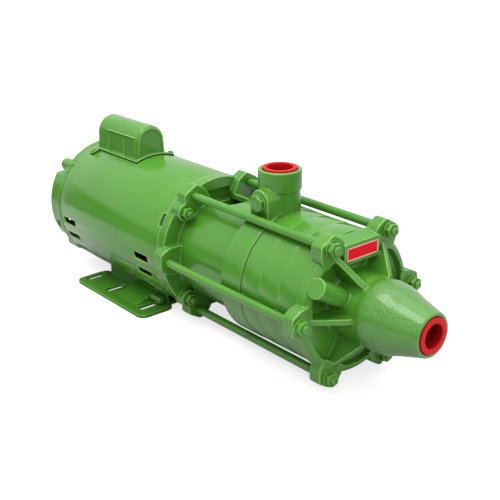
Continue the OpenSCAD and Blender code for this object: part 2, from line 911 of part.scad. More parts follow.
module discharge_outside() {
    edge = 1.2;
    turned([[discharge_x - spigot_len, 0], [discharge_x - spigot_len, 40], [discharge_x, 40],
        [discharge_x, discharge_r - edge], [discharge_x + edge, discharge_r], [stage_x - edge, discharge_r],
        [stage_x, discharge_r - edge], [stage_x, 0]]);
    translate([port_x, 0, shaft_h + lantern_r + 3])
        cylinder(r = neck_r, h = port_h - lantern_r - 3 - overcut, $fn = round_n);
    translate([port_x, 0, port_face_z - collar_len])
        rotate_extrude($fn = round_n)
            polygon([[0, 0], [collar_r - 1, 0], [collar_r, 1], [collar_r, collar_len - 1],
                [collar_r - 1, collar_len], [0, collar_len]]);
    port_boss();
}

module discharge_casing() {
    pocket_r = 17;
    duct_low = stage_bore_r - 11.5;
    neck_low = stage_bore_r + 14.5;
    color(enamel)
        difference() {
            discharge_outside();
            turned([[discharge_x + 9, 0], [discharge_x + 9, stage_bore_r],
                [stage_x - spigot_len - spigot_space, stage_bore_r],
                [stage_x - spigot_len - spigot_space, spigot_r + spigot_play],
                [stage_x + overcut, spigot_r + spigot_play], [stage_x + overcut, 0]]);
            turned([[discharge_x - 4, 0], [discharge_x - 4, pump_shaft_r + 2.5], [seat_x, pump_shaft_r + 2.5],
                [seat_x, pocket_r], [discharge_x + 10, pocket_r], [discharge_x + 10, 0]]);
            translate([port_x, 0, port_face_z - port_depth])
                cylinder(r = port_r, h = port_depth + overcut, $fn = round_n);
            translate([port_x, 0, shaft_h + neck_low])
                cylinder(r = port_r - 6, h = port_h - 1 - neck_low, $fn = round_n);
            translate([discharge_x + 20, 0, shaft_h + duct_low])
                cylinder(r = 10.5, h = neck_low + 2 - duct_low, $fn = small_n);
            translate([plug_x, plug_face_y - overcut, shaft_h + plug_h])
                rotate([-90, 0, 0])
                    cylinder(r = plug_thread_r + plug_gap, h = 16, $fn = small_n);
        }
}

module seal_seat_ring() {
    color("white")
        ring(seat_x, seat_len, 17 - fit_gap, pump_shaft_r + 2);
}

module stage_casing(k) {
    x = stage_x + k * stage_pitch;
    seat_back = stage_pitch - spigot_len - spigot_space;
    color(enamel)
        turned([[x - spigot_len, stage_bore_r], [x - spigot_len, spigot_r], [x, spigot_r], [x, stage_r - 0.6],
            [x + 0.6, stage_r], [x + stage_pitch - 0.6, stage_r], [x + stage_pitch, stage_r - 0.6],
            [x + stage_pitch, spigot_r + spigot_play], [x + seat_back, spigot_r + spigot_play],
            [x + seat_back, wear_ring_r + fit_gap], [x + eye_face, wear_ring_r + fit_gap],
            [x + eye_face, stage_bore_r]]);
}

module diffuser(k) {
    x = stage_x + k * stage_pitch;
    plate_x = back_disc_x - 1.5 - diffuser_plate_t;
    color(cast_iron) {
        ring(x + plate_x, diffuser_plate_t, stage_bore_r - fit_gap, sleeve_r + run_gap);
        around(x - spigot_len - spigot_space + 0.1, [for (i = [0:return_vanes - 1]) i * 360 / return_vanes])
            linear_extrude(plate_x + spigot_len + spigot_space)
                polygon(vane_outline(24, stage_bore_r - 3, -60, vane_t));
    }
}

module wear_rings() {
    color(brass)
        for (k = [0:stage_count - 1])
            ring(stage_x + k * stage_pitch + eye_face - 0.6, partition_t + 0.6, wear_ring_r,
                eye_r + eye_wall + run_gap);
}

module casing_seals() {
    color(black_rubber)
        for (k = [0:stage_count])
            ring(stage_x + k * stage_pitch - spigot_len - spigot_space + fit_gap, spigot_space - 2 * fit_gap,
                spigot_r, stage_bore_r + 1);
}

// Suction casing

recess_x = flange_x - 8.5;
wall_back_x = recess_x - 4;
nose_end_r = 22.55;
nose_bore_r = 30;

// The ring between the ears, whose faces are a little behind the machined faces of the ears
ring_x = flange_x - 0.4;

function nose_outside() = concat([[suction_x, 0], [suction_x, flange_r], [ring_x - 5, flange_r],
        [ring_x, flange_r - 5], [ring_x, 68.5], [recess_x + 1, 66.3], [recess_x, 64.3]],
    bow([recess_x, 42], [recess_x + 0.5, 36.8], [recess_x + 8, 36.3], 4),
    bow([flange_x + 18, 36], [flange_x + 26, 35.2], [flange_x + 31, 37.6], 4),
    bow([flange_x + 35, 38], [flange_x + 52, 38.5], [flange_x + 67, 32.2], 6),
    [[nose_x - 1, nose_end_r + 1], [nose_x, nose_end_r], [nose_x, 0]]);

function nose_inside() = concat([[suction_x - spigot_len - overcut, 0],
        [suction_x - spigot_len - overcut, stage_bore_r], [suction_x, stage_bore_r], [wall_back_x, 62]],
    bow([wall_back_x, 37], [wall_back_x + 0.5, nose_bore_r + 0.5], [wall_back_x + 10, nose_bore_r], 4),
    [[suction_x + 70, nose_bore_r], [nose_x - port_depth, 24], [nose_x - port_depth, port_r],
        [nose_x + overcut, port_r], [nose_x + overcut, 0]]);

rib_low_r = 33;
rib_len = 25.5;

// Web from the flange to the nose, with a squared end that stands proud of the nose
module suction_rib() {
    rotate([90, 0, 0])
        translate([0, 0, -rib_t / 2])
            linear_extrude(rib_t)
                polygon([[flange_r - 5, -10], [flange_r - 8, 1], [rib_low_r + 7, rib_len - 1],
                    [rib_low_r + 6, rib_len], [rib_low_r, rib_len], [rib_low_r, -4], [50, -12]]);
}

module suction_outside() {
    difference() {
        turned(nose_outside());
        top_slope_cut();
    }
    ring(suction_x - spigot_len, spigot_len + 1, spigot_r, stage_bore_r - 2);
    ears(suction_x, flange_t, 65);
    around(flange_x, ear_angles)
        suction_rib();
    around(flange_x + 4.5, [150])
        rotate([0, 90, 0])
            translate([0, 0, 33])
                cylinder(r = boss_r, h = flange_r - 34, $fn = round_n);
    plate_seat();
}

plate_w = 44;
plate_tall = 13;
plate_t = 0.8;
plate_mid = 60.4;
plate_rim = 3;
seat_proud = 3;
seat_low = 49;
seat_top = 71.1;
seat_back_top = 75.1;

// Prism along the shaft between the two top ears, drawn as [distance from the shaft, along the shaft]
module top_block(w, outline) {
    around(flange_x, [90])
        rotate([90, 0, 0])
            translate([0, 0, -w / 2])
                linear_extrude(w)
                    polygon(outline);
}

module plate_seat() {
    top_block(plate_w + 2 * plate_rim, [[seat_low, -10], [seat_low, seat_proud], [seat_top, seat_proud],
        [seat_back_top, -flange_t], [67, -flange_t], [60, -10]]);
}

// Clears the flange's rounded edge, a little below the top of the plate's seat
module top_slope_cut() {
    top_block(plate_w - 2, [[seat_top - 1, seat_proud], [seat_back_top - 1, -flange_t - overcut],
        [ear_reach, -flange_t - overcut], [ear_reach, seat_proud]]);
}

module plate_pocket() {
    around(flange_x + seat_proud - 0.8, [90])
        translate([plate_mid, 0, 0])
            linear_extrude(2)
                polygon(softened(rectangle(plate_tall + 0.6, plate_w + 0.6), 1));
}

module suction_casing() {
    color(enamel)
        difference() {
            suction_outside();
            turned(nose_inside());
            plate_pocket();
            bar_at(rod_circle_r, suction_x - overcut, flange_t + 2 * overcut, rod_r + 0.4, ear_angles);
        }
}

module name_plate() {
    color(red_plastic)
        around(flange_x + seat_proud - 0.8, [90])
            translate([plate_mid, 0, 0])
                linear_extrude(plate_t)
                    polygon(softened(rectangle(plate_tall, plate_w), 1));
}

module tie_rods() {
    start_x = ear_x - ear_t + 2;
    color(enamel)
        bar_at(rod_circle_r, start_x, rod_end_x - start_x, rod_r, ear_angles);
}

module tie_rod_washers() {
    color(enamel)
        difference() {
            bar_at(rod_circle_r, flange_x, washer_t, washer_r, ear_angles);
            bar_at(rod_circle_r, flange_x - overcut, washer_t + 2 * overcut, rod_r + fit_gap, ear_angles);
        }
}

module tie_rod_nuts() {
    color(enamel)
        difference() {
            hex_at(rod_circle_r, flange_x + washer_t, nut_h, nut_flats, ear_angles);
            bar_at(rod_circle_r, flange_x, 2 * nut_h, rod_r + fit_gap, ear_angles);
        }
}

module priming_plug() {
    head = 4.5;
    color(enamel)
        translate([plug_x, plug_face_y - plug_washer_t, shaft_h + plug_h])
            rotate([-90, 0, 0]) {
                translate([0, 0, -1])
                    cylinder(r = plug_thread_r, h = 14, $fn = small_n);
                translate([0, 0, -head])
                    cylinder(r = plug_flats / sqrt(3), h = head, $fn = 6);
            }
}

module plug_washer() {
    color(enamel)
        translate([plug_x, plug_face_y - plug_washer_t, shaft_h + plug_h])
            rotate([-90, 0, 0])
                difference() {
                    cylinder(r = 10, h = plug_washer_t, $fn = small_n);
                    translate([0, 0, -overcut])
                        cylinder(r = plug_thread_r + plug_gap, h = plug_washer_t + 2 * overcut, $fn = small_n);
                }
}

module protector() {
    outer = port_r - protector_gap;
    depth = port_depth - 2;
    difference() {
        translate([0, 0, -depth])
            cylinder(r = outer, h = depth + protector_lip, $fn = round_n);
        translate([0, 0, -depth + protector_bottom + 5])
            cylinder(r = protector_bore_r, h = depth + 10, $fn = round_n);
        translate([0, 0, -depth + protector_bottom])
            cylinder(r = protector_bore_r - 3, h = depth, $fn = round_n);
    }
}

module discharge_protector() {
    color(red_plastic)
        translate([port_x, 0, port_face_z])
            protector();
}

module suction_protector() {
    color(red_plastic)
        shaft_frame(nose_x)
            protector();
}

motor_foot();
motor_shell();
rear_end_bell();
pump_bracket();
through_bolts();
through_bolt_nuts();
stator_core();
stator_windings();
start_switch();
wave_spring();
cable_grommet();
capacitor_cover();
cover_gasket();
cover_screws();
start_capacitor();
front_bearing_outer_ring();
rear_bearing_outer_ring();
front_bearing_inner_ring();
rear_bearing_inner_ring();
bearing_balls();
bearing_cages();
pump_shaft();
rotor_core();
cooling_fan();
start_governor();
water_slinger();
seal_rotating_head();
impeller_key();
impeller(0);  // impeller_1
impeller(1);  // impeller_2
impeller(2);  // impeller_3
spacer_sleeves();
impeller_washer();
impeller_nut();
discharge_casing();
seal_seat_ring();
stage_casing(0);  // stage_casing_1
stage_casing(1);  // stage_casing_2
stage_casing(2);  // stage_casing_3
diffuser(0);  // diffuser_1
diffuser(1);  // diffuser_2
diffuser(2);  // diffuser_3
wear_rings();
casing_seals();
suction_casing();
tie_rods();
tie_rod_washers();
tie_rod_nuts();
name_plate();
priming_plug();
plug_washer();
discharge_protector();
suction_protector();
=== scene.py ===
"""Multistage centrifugal pump in green enamel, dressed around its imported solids."""
import json
import math

import bmesh
import bpy
from mathutils import Matrix, Vector


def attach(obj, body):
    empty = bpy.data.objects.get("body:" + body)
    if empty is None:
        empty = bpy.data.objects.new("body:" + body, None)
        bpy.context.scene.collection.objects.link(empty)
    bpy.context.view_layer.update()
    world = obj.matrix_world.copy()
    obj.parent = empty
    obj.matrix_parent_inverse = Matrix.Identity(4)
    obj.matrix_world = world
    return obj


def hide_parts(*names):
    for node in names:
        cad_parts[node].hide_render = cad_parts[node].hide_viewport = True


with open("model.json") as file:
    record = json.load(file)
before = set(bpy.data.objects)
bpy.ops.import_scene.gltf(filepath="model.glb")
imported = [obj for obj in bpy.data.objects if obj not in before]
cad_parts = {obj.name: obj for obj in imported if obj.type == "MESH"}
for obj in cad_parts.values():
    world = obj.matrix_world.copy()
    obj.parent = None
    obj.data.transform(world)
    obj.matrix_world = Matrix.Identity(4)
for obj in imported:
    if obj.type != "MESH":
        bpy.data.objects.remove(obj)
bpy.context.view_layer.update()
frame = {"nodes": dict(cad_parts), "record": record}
nodes = frame["nodes"]

# Sizes in millimetres, as in the part's source; X runs along the shaft from the motor to the suction nose

MM = 0.001
SHAFT_H = 88.9

SHELL_R = 83.5
SHELL_WALL = 2
SHELL_X = -113
SHELL_FRONT_X = 115
RIM_R = 84
RIM_X = 129
BOLT_CIRCLE_R = 76.5
BOLT_ANGLES = (45, 135, 225, 315)

EAR_X = 137
EAR_T = 16
EAR_REACH = 92.5
EAR_ANGLES = (0, 60, 120, 180, 240, 300)
LANTERN_R = 64.5
LANTERN_WALL = 7

DISCHARGE_X = 225.6
DISCHARGE_R = 76
STAGE_X = 260.8
STAGE_PITCH = 28.05
STAGE_R = 75.5
STAGE_BORE_R = 66.5
SPIGOT_LEN = 3
SPIGOT_R = 70.5
SUCTION_X = STAGE_X + 3 * STAGE_PITCH
FLANGE_X = SUCTION_X + 15.5
NOSE_X = FLANGE_X + 98
NOSE_END_R = 22.55

PORT_R = 19.48
PORT_DEPTH = 22
PORT_X = 238.4
PORT_H = 119.6
COLLAR_R = 24.3
COLLAR_LEN = 22.5
NECK_R = 22.5
PLUG_X = 242.4
PLUG_H = 87.4
PLUG_FACE = 33.5
PLUG_BOSS_R = 14.5

ROD_CIRCLE_R = 82.7
ROD_R = 4.76
ROD_END_X = FLANGE_X + 10.5
WASHER_T = 1.5

COVER_X = -98
COVER_LEN = 93
COVER_Y = -3.8
COVER_W = 43.5
COVER_TOP = 211.5
COVER_EDGE = 4
COVER_SEAT_R = 84.5
COVER_FLANGE_T = 1.5

# Forms that only the scene has

VENT_LEN = 30.5
VENT_W = 10
VENT_CORNER = 3.2
VENT_ROWS_X = (SHELL_X + 7.7, SHELL_FRONT_X - 51.3)
VENT_ANGLES = (-7, -22, -38, 187, 202, 218)
NOTCH_W = 16
NOTCH_LEN = 6
NOTCH_ANGLES = (31.5, 148.5)
ROUGH_NOSE_X = FLANGE_X + 28

# Places: each maps local (along, across, up) millimetres to the row's frame

ON_SHAFT = Matrix.Translation((0, 0, SHAFT_H))
ON_PORT = Matrix.Translation((PORT_X, 0, SHAFT_H)) @ Matrix(
    ((0, 1, 0, 0), (0, 0, 1, 0), (1, 0, 0, 0), (0, 0, 0, 1)))
ON_PLUG = Matrix.Translation((PLUG_X, 0, SHAFT_H + PLUG_H)) @ Matrix(
    ((0, 1, 0, 0), (-1, 0, 0, 0), (0, 0, 1, 0), (0, 0, 0, 1)))

# Turns of a place: a prism then runs out from the shaft, or sideways past it

OUTWARDS = Matrix(((0, 1, 0, 0), (1, 0, 0, 0), (0, 0, 1, 0), (0, 0, 0, 1)))
SIDEWAYS = Matrix(((0, 0, 1, 0), (0, 1, 0, 0), (1, 0, 0, 0), (0, 0, 0, 1)))


def round_shaft(degrees):
    """Frame turned about the shaft: along it, outwards, and sideways."""
    return ON_SHAFT @ Matrix.Rotation(math.radians(degrees), 4, "X")


def beside_shaft(x, radius, degrees):
    """Frame of a rod or bolt that stands off the shaft's line."""
    return round_shaft(degrees) @ Matrix.Translation((x, radius, 0))


def on_flange(degrees, x=FLANGE_X):
    """Frame turned about the shaft whose origin is at the suction flange's face."""
    return round_shaft(degrees) @ Matrix.Translation((x, 0, 0))


# Outlines


def eased(outline, cuts, steps=4):
    """The outline with each corner replaced by a short curve that starts a cut away from it."""
    made = []
    count = len(outline)
    for i, corner in enumerate(outline):
        cut_back = cuts[i] if isinstance(cuts, (list, tuple)) else cuts
        here = Vector(corner)
        if not cut_back:
            made.append(here)
            continue
        before, after = Vector(outline[i - 1]), Vector(outline[(i + 1) % count])
        start = here + (before - here).normalized() * min(cut_back, (before - here).length * 0.45)
        end = here + (after - here).normalized() * min(cut_back, (after - here).length * 0.45)
        for k in range(steps + 1):
            t = k / steps
            made.append((1 - t) ** 2 * start + 2 * t * (1 - t) * here + t * t * end)
    return made


def bow(start, guide, end, steps=8):
    """Smooth curve through a turned profile."""
    start, guide, end = Vector(start), Vector(guide), Vector(end)
    points = [(1 - k / steps) ** 2 * start + 2 * (k / steps) * (1 - k / steps) * guide + (k / steps) ** 2 * end
              for k in range(steps + 1)]
    return [tuple(point) for point in points]


def circle(r, turns, centre=(0, 0)):
    return [(centre[0] + r * math.cos(2 * math.pi * k / turns), centre[1] + r * math.sin(2 * math.pi * k / turns))
            for k in range(turns)]


def hexagon(flats):
    corner = flats / math.sqrt(3)
    return [(corner * math.cos(math.radians(60 * k + 30)), corner * math.sin(math.radians(60 * k + 30)))
            for k in range(6)]


# Mesh making

SHARP_ANGLE = math.radians(32)
EASED_ANGLE = math.radians(40)


def close_up(mesh):
    bmesh.ops.remove_doubles(mesh, verts=mesh.verts, dist=1e-6)
    bmesh.ops.dissolve_degenerate(mesh, edges=mesh.edges, dist=1e-7)
    bmesh.ops.recalc_face_normals(mesh, faces=mesh.faces)


def lathe(profile, place=ON_SHAFT, turns=192):
    """Solid of revolution from a closed profile of (along, radius)."""
    mesh = bmesh.new()
    rings = []
    for k in range(turns):
        angle = 2 * math.pi * k / turns
        rings.append([mesh.verts.new(place @ Vector((x, r * math.cos(angle), r * math.sin(angle))) * MM)
                      for x, r in profile])
    for k in range(turns):
        for i in range(len(profile)):
            j = (i + 1) % len(profile)
            if profile[i][1] or profile[j][1]:
                mesh.faces.new((rings[k][i], rings[k][j], rings[k - 1][j], rings[k - 1][i]))
    close_up(mesh)
    return mesh


def prism(outline, low, high, place):
    """Solid drawn along its place's first axis from a closed outline in the other two."""
    mesh = bmesh.new()
    ends = [[mesh.verts.new(place @ Vector((x, p[0], p[1])) * MM) for p in outline] for x in (low, high)]
    mesh.faces.new(ends[0])
    mesh.faces.new(ends[1])
    for i in range(len(outline)):
        j = (i + 1) % len(outline)
        mesh.faces.new((ends[0][i], ends[0][j], ends[1][j], ends[1][i]))
    close_up(mesh)
    return mesh


def slab(low, high, place):
    """Box between two opposite corners, each (along, across, up)."""
    return prism([(low[1], low[2]), (high[1], low[2]), (high[1], high[2]), (low[1], high[2])],
                 low[0], high[0], place)


def as_piece(name, *solids):
    """One object from one or more meshes in the making."""
    mesh = bpy.data.meshes.new(name)
    joined = bmesh.new()
    for solid in solids:
        solid.to_mesh(mesh)
        solid.free()
        joined.from_mesh(mesh)
    joined.to_mesh(mesh)
    joined.free()
    piece = bpy.data.objects.new(name, mesh)
    bpy.context.scene.collection.objects.link(piece)
    return piece


def taken_from(piece):
    """The solid of a piece, which is then gone."""
    solid = bmesh.new()
    solid.from_mesh(piece.data)
    bpy.data.objects.remove(piece)
    return solid


def settle(piece):
    """Takes the piece's modifiers into its mesh."""
    graph = bpy.context.evaluated_depsgraph_get()
    mesh = bpy.data.meshes.new_from_object(piece.evaluated_get(graph))
    old = piece.data
    piece.modifiers.clear()
    piece.data = mesh
    mesh.name = piece.name
    bpy.data.meshes.remove(old)


def carve(piece, tool, operation, crossing=False):
    """Cuts the piece by a tool, which is then gone; crossing is for a tool whose own shells meet."""
    step = piece.modifiers.new("carve", "BOOLEAN")
    step.operation = operation
    step.solver = "EXACT"
    step.use_self = crossing
    step.object = tool
    settle(piece)
    bpy.data.objects.remove(tool)


def cut(piece, *cutters):
    """Takes solids away from the piece."""
    carve(piece, as_piece(piece.name + "_cutter", *cutters), "DIFFERENCE", len(cutters) > 1)


def add(piece, *solids):
    """Joins more solids to the piece, as separate shells."""
    other = as_piece(piece.name + "_more", *solids)
    joined = bmesh.new()
    joined.from_mesh(piece.data)
    joined.from_mesh(other.data)
    joined.to_mesh(piece.data)
    joined.free()
    bpy.data.objects.remove(other)


def lay_skin(piece, voxel, rounds):
    """One skin over overlapping shells, whose corners run together as in a casting."""
    remesh = piece.modifiers.new("skin", "REMESH")
    remesh.mode = "VOXEL"
    remesh.voxel_size = voxel * MM
    remesh.use_smooth_shade = True
    smooth = piece.modifiers.new("flow", "SMOOTH")
    smooth.iterations = rounds
    smooth.factor = 0.5


def flow(piece, voxel, rounds):
    """Lays a skin and takes it into the piece's mesh."""
    lay_skin(piece, voxel, rounds)
    settle(piece)


def ease_edges(piece, width):
    """Rounds the sharp edges."""
    bevel = piece.modifiers.new("edges", "BEVEL")
    bevel.width = width * MM
    bevel.segments = 2
    bevel.limit_method = "ANGLE"
    bevel.angle_limit = EASED_ANGLE
    bevel.use_clamp_overlap = True
    settle(piece)


def shade(piece):
    """Smooth shading with the steeper edges kept sharp."""
    mesh = bmesh.new()
    mesh.from_mesh(piece.data)
    for face in mesh.faces:
        face.smooth = True
    for edge in mesh.edges:
        edge.smooth = len(edge.link_faces) == 2 and edge.calc_face_angle(0) < SHARP_ANGLE
    mesh.to_mesh(piece.data)
    mesh.free()


def finish_piece(piece, body, slot, material, *stood_for):
    """Gives a piece its body and its material, and hides the nodes that it stands for; the slot is not used."""
    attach(piece, body)
    if stood_for:
        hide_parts(*stood_for)
    piece.data.materials.clear()
    piece.data.materials.append(material)


# Material making


def rgb(red, green, blue):
    """A colour as a paint chart gives it, 0 to 255, for the renderer."""
    return tuple((c / 255 / 12.92 if c <= 10 else ((c / 255 + 0.055) / 1.055) ** 2.4)
                 for c in (red, green, blue)) + (1,)


def new_group(name, inputs, outputs):
    """Shader node group with named sockets."""
    tree = bpy.data.node_groups.new(name, "ShaderNodeTree")
    for label, kind, value in inputs:
        socket = tree.interface.new_socket(name=label, in_out="INPUT", socket_type=kind)
        socket.default_value = value
    for label, kind in outputs:
        tree.interface.new_socket(name=label, in_out="OUTPUT", socket_type=kind)
    return tree, tree.nodes.new("NodeGroupInput").outputs, tree.nodes.new("NodeGroupOutput").inputs


def feed(tree, socket, value):
    """Links a socket to another one, or sets it."""
    if isinstance(value, bpy.types.NodeSocket):
        tree.links.new(value, socket)
    else:
        socket.default_value = value


def node(tree, kind, settings=None, **links):
    """A node with its settings, and its inputs fed by name, or by number as i0, i1 and so on."""
    made = tree.nodes.new("ShaderNode" + kind)
    for key, value in (settings or {}).items():
        setattr(made, key, value)
    for key, value in links.items():
        numbered = key[0] == "i" and key[1:].isdigit()
        feed(tree, made.inputs[int(key[1:]) if numbered else key.replace("_", " ")], value)
    return made


def noise(tree, place, scale, detail):
    return node(tree, "TexNoise", Vector=place, Scale=scale, Detail=detail).outputs["Fac"]


def times(tree, first, second):
    return node(tree, "Math", {"operation": "MULTIPLY"}, i0=first, i1=second).outputs[0]


def times_plus(tree, first, second, third):
    return node(tree, "Math", {"operation": "MULTIPLY_ADD"}, i0=first, i1=second, i2=third).outputs[0]


def openness(tree, reach, **settings):
    """1 on open surface, and less where something stands within reach of it."""
    return node(tree, "AmbientOcclusion", {"samples": 8, **settings}, Distance=reach).outputs["AO"]


def ramp(tree, value, low, high):
    """0 at low, 1 at high, and a smooth step between."""
    made = node(tree, "MapRange", {"interpolation_type": "SMOOTHSTEP"}, Value=value)
    made.inputs["From Min"].default_value = low
    made.inputs["From Max"].default_value = high
    return made.outputs["Result"]


def blended(tree, factor, first, second, mode="MIX"):
    made = tree.nodes.new("ShaderNodeMix")
    made.data_type = "RGBA"
    made.blend_type = mode
    for number, value in ((0, factor), (6, first), (7, second)):
        feed(tree, made.inputs[number], value)
    return made.outputs[2]


COLOUR, NUMBER = "NodeSocketColor", "NodeSocketFloat"
SURFACE_OUTPUTS = [("Color", COLOUR), ("Roughness", NUMBER), ("Height", NUMBER)]


def make_coat_group():
    """Sprayed paint, a little uneven, with its own skin; painted highlight on edges, painted shade in corners and
    under pieces, and dark painted shade in tight creases and joints.
    """
    tree, given, out = new_group("coat_tone", [
        ("Paint", COLOUR, rgb(90, 160, 70)), ("Edge", COLOUR, rgb(160, 220, 130)),
        ("Dark patch and shade", COLOUR, rgb(40, 90, 30)), ("Edge amount", NUMBER, 0.6), ("Edge width", NUMBER, 0.0018),
        ("Shade amount", NUMBER, 0.3), ("Shade reach", NUMBER, 0.03), ("Seam", COLOUR, rgb(10, 40, 6)),
        ("Crease shade amount", NUMBER, 0.85), ("Uneven", NUMBER, 0.2),
        ("Grain size", NUMBER, 700.0), ("Grain", NUMBER, 0.5), ("Gloss", NUMBER, 0.25)], SURFACE_OUTPUTS)
    place = node(tree, "TexCoord").outputs["Object"]
    cloud = noise(tree, place, 14.0, 3.0)
    fine = noise(tree, place, given["Grain size"], 2.0)
    flat = noise(tree, place, 70.0, 1.0)
    corner = openness(tree, given["Edge width"], inside=True, only_local=True)
    recess = openness(tree, given["Shade reach"])
    groove = openness(tree, 0.0035)
    paint = blended(tree, times(tree, ramp(tree, cloud, 0.35, 0.75), given["Uneven"]), given["Paint"], given["Dark patch and shade"])
    for mask, amount, colour in (
            # painted shade in recesses and under pieces, in the dark green
            (ramp(tree, recess, 0.95, 0.3), "Shade amount", "Dark patch and shade"),
            # painted highlight on edges
            (ramp(tree, corner, 0.95, 0.72), "Edge amount", "Edge"),
            # dark painted shade in tight creases, grooves and joints between parts
            (ramp(tree, groove, 0.68, 0.34), "Crease shade amount", "Seam")):
        paint = blended(tree, times(tree, mask, given[amount]), paint, given[colour])
    tree.links.new(paint, out["Color"])
    tree.links.new(times_plus(tree, cloud, 0.12, given["Gloss"]), out["Roughness"])
    tree.links.new(times_plus(tree, flat, 0.35, times(tree, fine, given["Grain"])), out["Height"])
    return tree


def make_grain_group():
    """Bare metal, rubber or plastic: a fleck in the colour, fine marks in the surface and painted shade in hollows.
    """
    tree, given, out = new_group("plain_grain", [
        ("Base", COLOUR, rgb(150, 150, 150)), ("Fleck", COLOUR, rgb(90, 90, 90)), ("Amount", NUMBER, 0.4),
        ("Size", NUMBER, 300.0), ("Stretch", NUMBER, 1.0), ("Rough", NUMBER, 0.4), ("Spread", NUMBER, 0.15),
        ("Shade", NUMBER, 0.4)], SURFACE_OUTPUTS)
    place = node(tree, "TexCoord").outputs["Object"]
    stretch = node(tree, "CombineXYZ", X=given["Stretch"], Y=1.0, Z=1.0).outputs[0]
    drawn = node(tree, "VectorMath", {"operation": "MULTIPLY"}, i0=place, i1=stretch).outputs[0]
    fine = noise(tree, drawn, given["Size"], 3.0)
    broad = noise(tree, place, 25.0, 2.0)
    flecks = times(tree, ramp(tree, times(tree, fine, broad), 0.15, 0.4), given["Amount"])
    # Painted shade where something stands close to the surface
    hollow_shade = times(tree, ramp(tree, openness(tree, 0.025), 0.9, 0.2), given["Shade"])
    tone = blended(tree, flecks, given["Base"], given["Fleck"])
    dark = blended(tree, 1.0, tone, rgb(70, 60, 60), "MULTIPLY")
    tree.links.new(blended(tree, hollow_shade, tone, dark), out["Color"])
    tree.links.new(times_plus(tree, fine, given["Spread"], given["Rough"]), out["Roughness"])
    tree.links.new(fine, out["Height"])
    return tree


COAT, GRAIN = make_coat_group(), make_grain_group()


def surface(name, group, values, bump, depth, **shader_values):
    """Material whose colour, roughness and bump come from a group, with plain values on its shader."""
    material = bpy.data.materials.new(name)
    material.use_nodes = True
    tree = material.node_tree
    shader = tree.nodes["Principled BSDF"]
    effect = tree.nodes.new("ShaderNodeGroup")
    effect.node_tree = group
    for key, value in values.items():
        effect.inputs[key].default_value = value
    tree.links.new(effect.outputs["Color"], shader.inputs["Base Color"])
    tree.links.new(effect.outputs["Roughness"], shader.inputs["Roughness"])
    relief = node(tree, "Bump", Strength=bump, Distance=depth * MM, Height=effect.outputs["Height"])
    tree.links.new(relief.outputs["Normal"], shader.inputs["Normal"])
    for key, value in shader_values.items():
        shader.inputs[key.replace("_", " ")].default_value = value
    return material


# The pale green is the painted highlight on edges; the dark green serves both for uneven patches and for painted
# shade.
GREEN = {"Paint": rgb(72, 135, 37), "Edge": rgb(160, 218, 118), "Dark patch and shade": rgb(26, 74, 10)}


def enamel(name, tone, **finish):
    """The green paint as it lies on one kind of surface."""
    return surface(name, COAT, {**GREEN, **tone}, **finish)


# Each finish sets the strength and width of its painted highlight on edges.
cast_enamel = enamel("cast_enamel", {
    "Edge amount": 0.85, "Edge width": 0.0014, "Uneven": 0.2, "Grain size": 520.0, "Grain": 1.0, "Gloss": 0.16},
    bump=0.5, depth=0.3, Coat_Weight=0.5, Coat_Roughness=0.1)
rough_enamel = enamel("rough_enamel", {
    "Edge amount": 0.85, "Edge width": 0.0014, "Uneven": 0.2, "Grain size": 560.0, "Grain": 1.5, "Gloss": 0.16},
    bump=1.0, depth=1.1, Coat_Weight=1.0, Coat_Roughness=0.12)
sheet_enamel = enamel("sheet_enamel", {
    "Edge amount": 0.85, "Edge width": 0.0011, "Uneven": 0.12, "Grain size": 500.0, "Grain": 0.12, "Gloss": 0.12},
    bump=0.06, depth=0.12, Coat_Weight=0.45, Coat_Roughness=0.05)
# The foot's paint carries painted shade with a long reach, for the shadow under the motor.
foot_shaded_enamel = enamel("foot_shaded_enamel", {
    "Edge amount": 0.6, "Edge width": 0.0011, "Shade amount": 0.45, "Shade reach": 0.09, "Uneven": 0.2,
    "Grain size": 500.0, "Grain": 0.2, "Gloss": 0.2},
    bump=0.1, depth=0.12, Coat_Weight=0.15, Coat_Roughness=0.1, Specular_IOR_Level=0.25)
ring_enamel = enamel("ring_enamel", {
    "Edge amount": 0.18, "Edge width": 0.001, "Uneven": 0.15, "Grain size": 520.0, "Grain": 0.5, "Gloss": 0.15},
    bump=0.3, depth=0.2, Coat_Weight=0.5, Coat_Roughness=0.08)
bolt_enamel = enamel("bolt_enamel", {
    "Edge amount": 0.6, "Edge width": 0.0008, "Uneven": 0.2, "Grain size": 900.0, "Grain": 0.3, "Gloss": 0.2},
    bump=0.2, depth=0.15, Coat_Weight=0.4, Coat_Roughness=0.12)

# The protectors' red takes strong painted shade in their bores.
red_plastic = surface("red_plastic", GRAIN, {
    "Base": rgb(198, 6, 18), "Fleck": rgb(172, 4, 14), "Amount": 0.5, "Size": 400.0, "Rough": 0.4, "Spread": 0.14,
    "Shade": 0.9}, bump=0.15, depth=0.1, Specular_IOR_Level=0.25)
red_plate = surface("red_plate", GRAIN, {
    "Base": rgb(222, 4, 24), "Fleck": rgb(190, 2, 16), "Amount": 0.35, "Size": 600.0, "Rough": 0.3, "Spread": 0.1,
    "Shade": 0.1}, bump=0.08, depth=0.05, Specular_IOR_Level=0.15)
pale_border = surface("pale_border", GRAIN, {
    "Base": rgb(226, 190, 176), "Fleck": rgb(200, 150, 140), "Amount": 0.4, "Size": 600.0, "Rough": 0.35,
    "Spread": 0.1}, bump=0.08, depth=0.05)
black_rubber = surface("black_rubber", GRAIN, {
    "Base": rgb(12, 20, 10), "Fleck": rgb(26, 34, 22), "Amount": 0.6, "Size": 500.0, "Rough": 0.62,
    "Spread": 0.2}, bump=0.3, depth=0.15, Specular_IOR_Level=0.2)
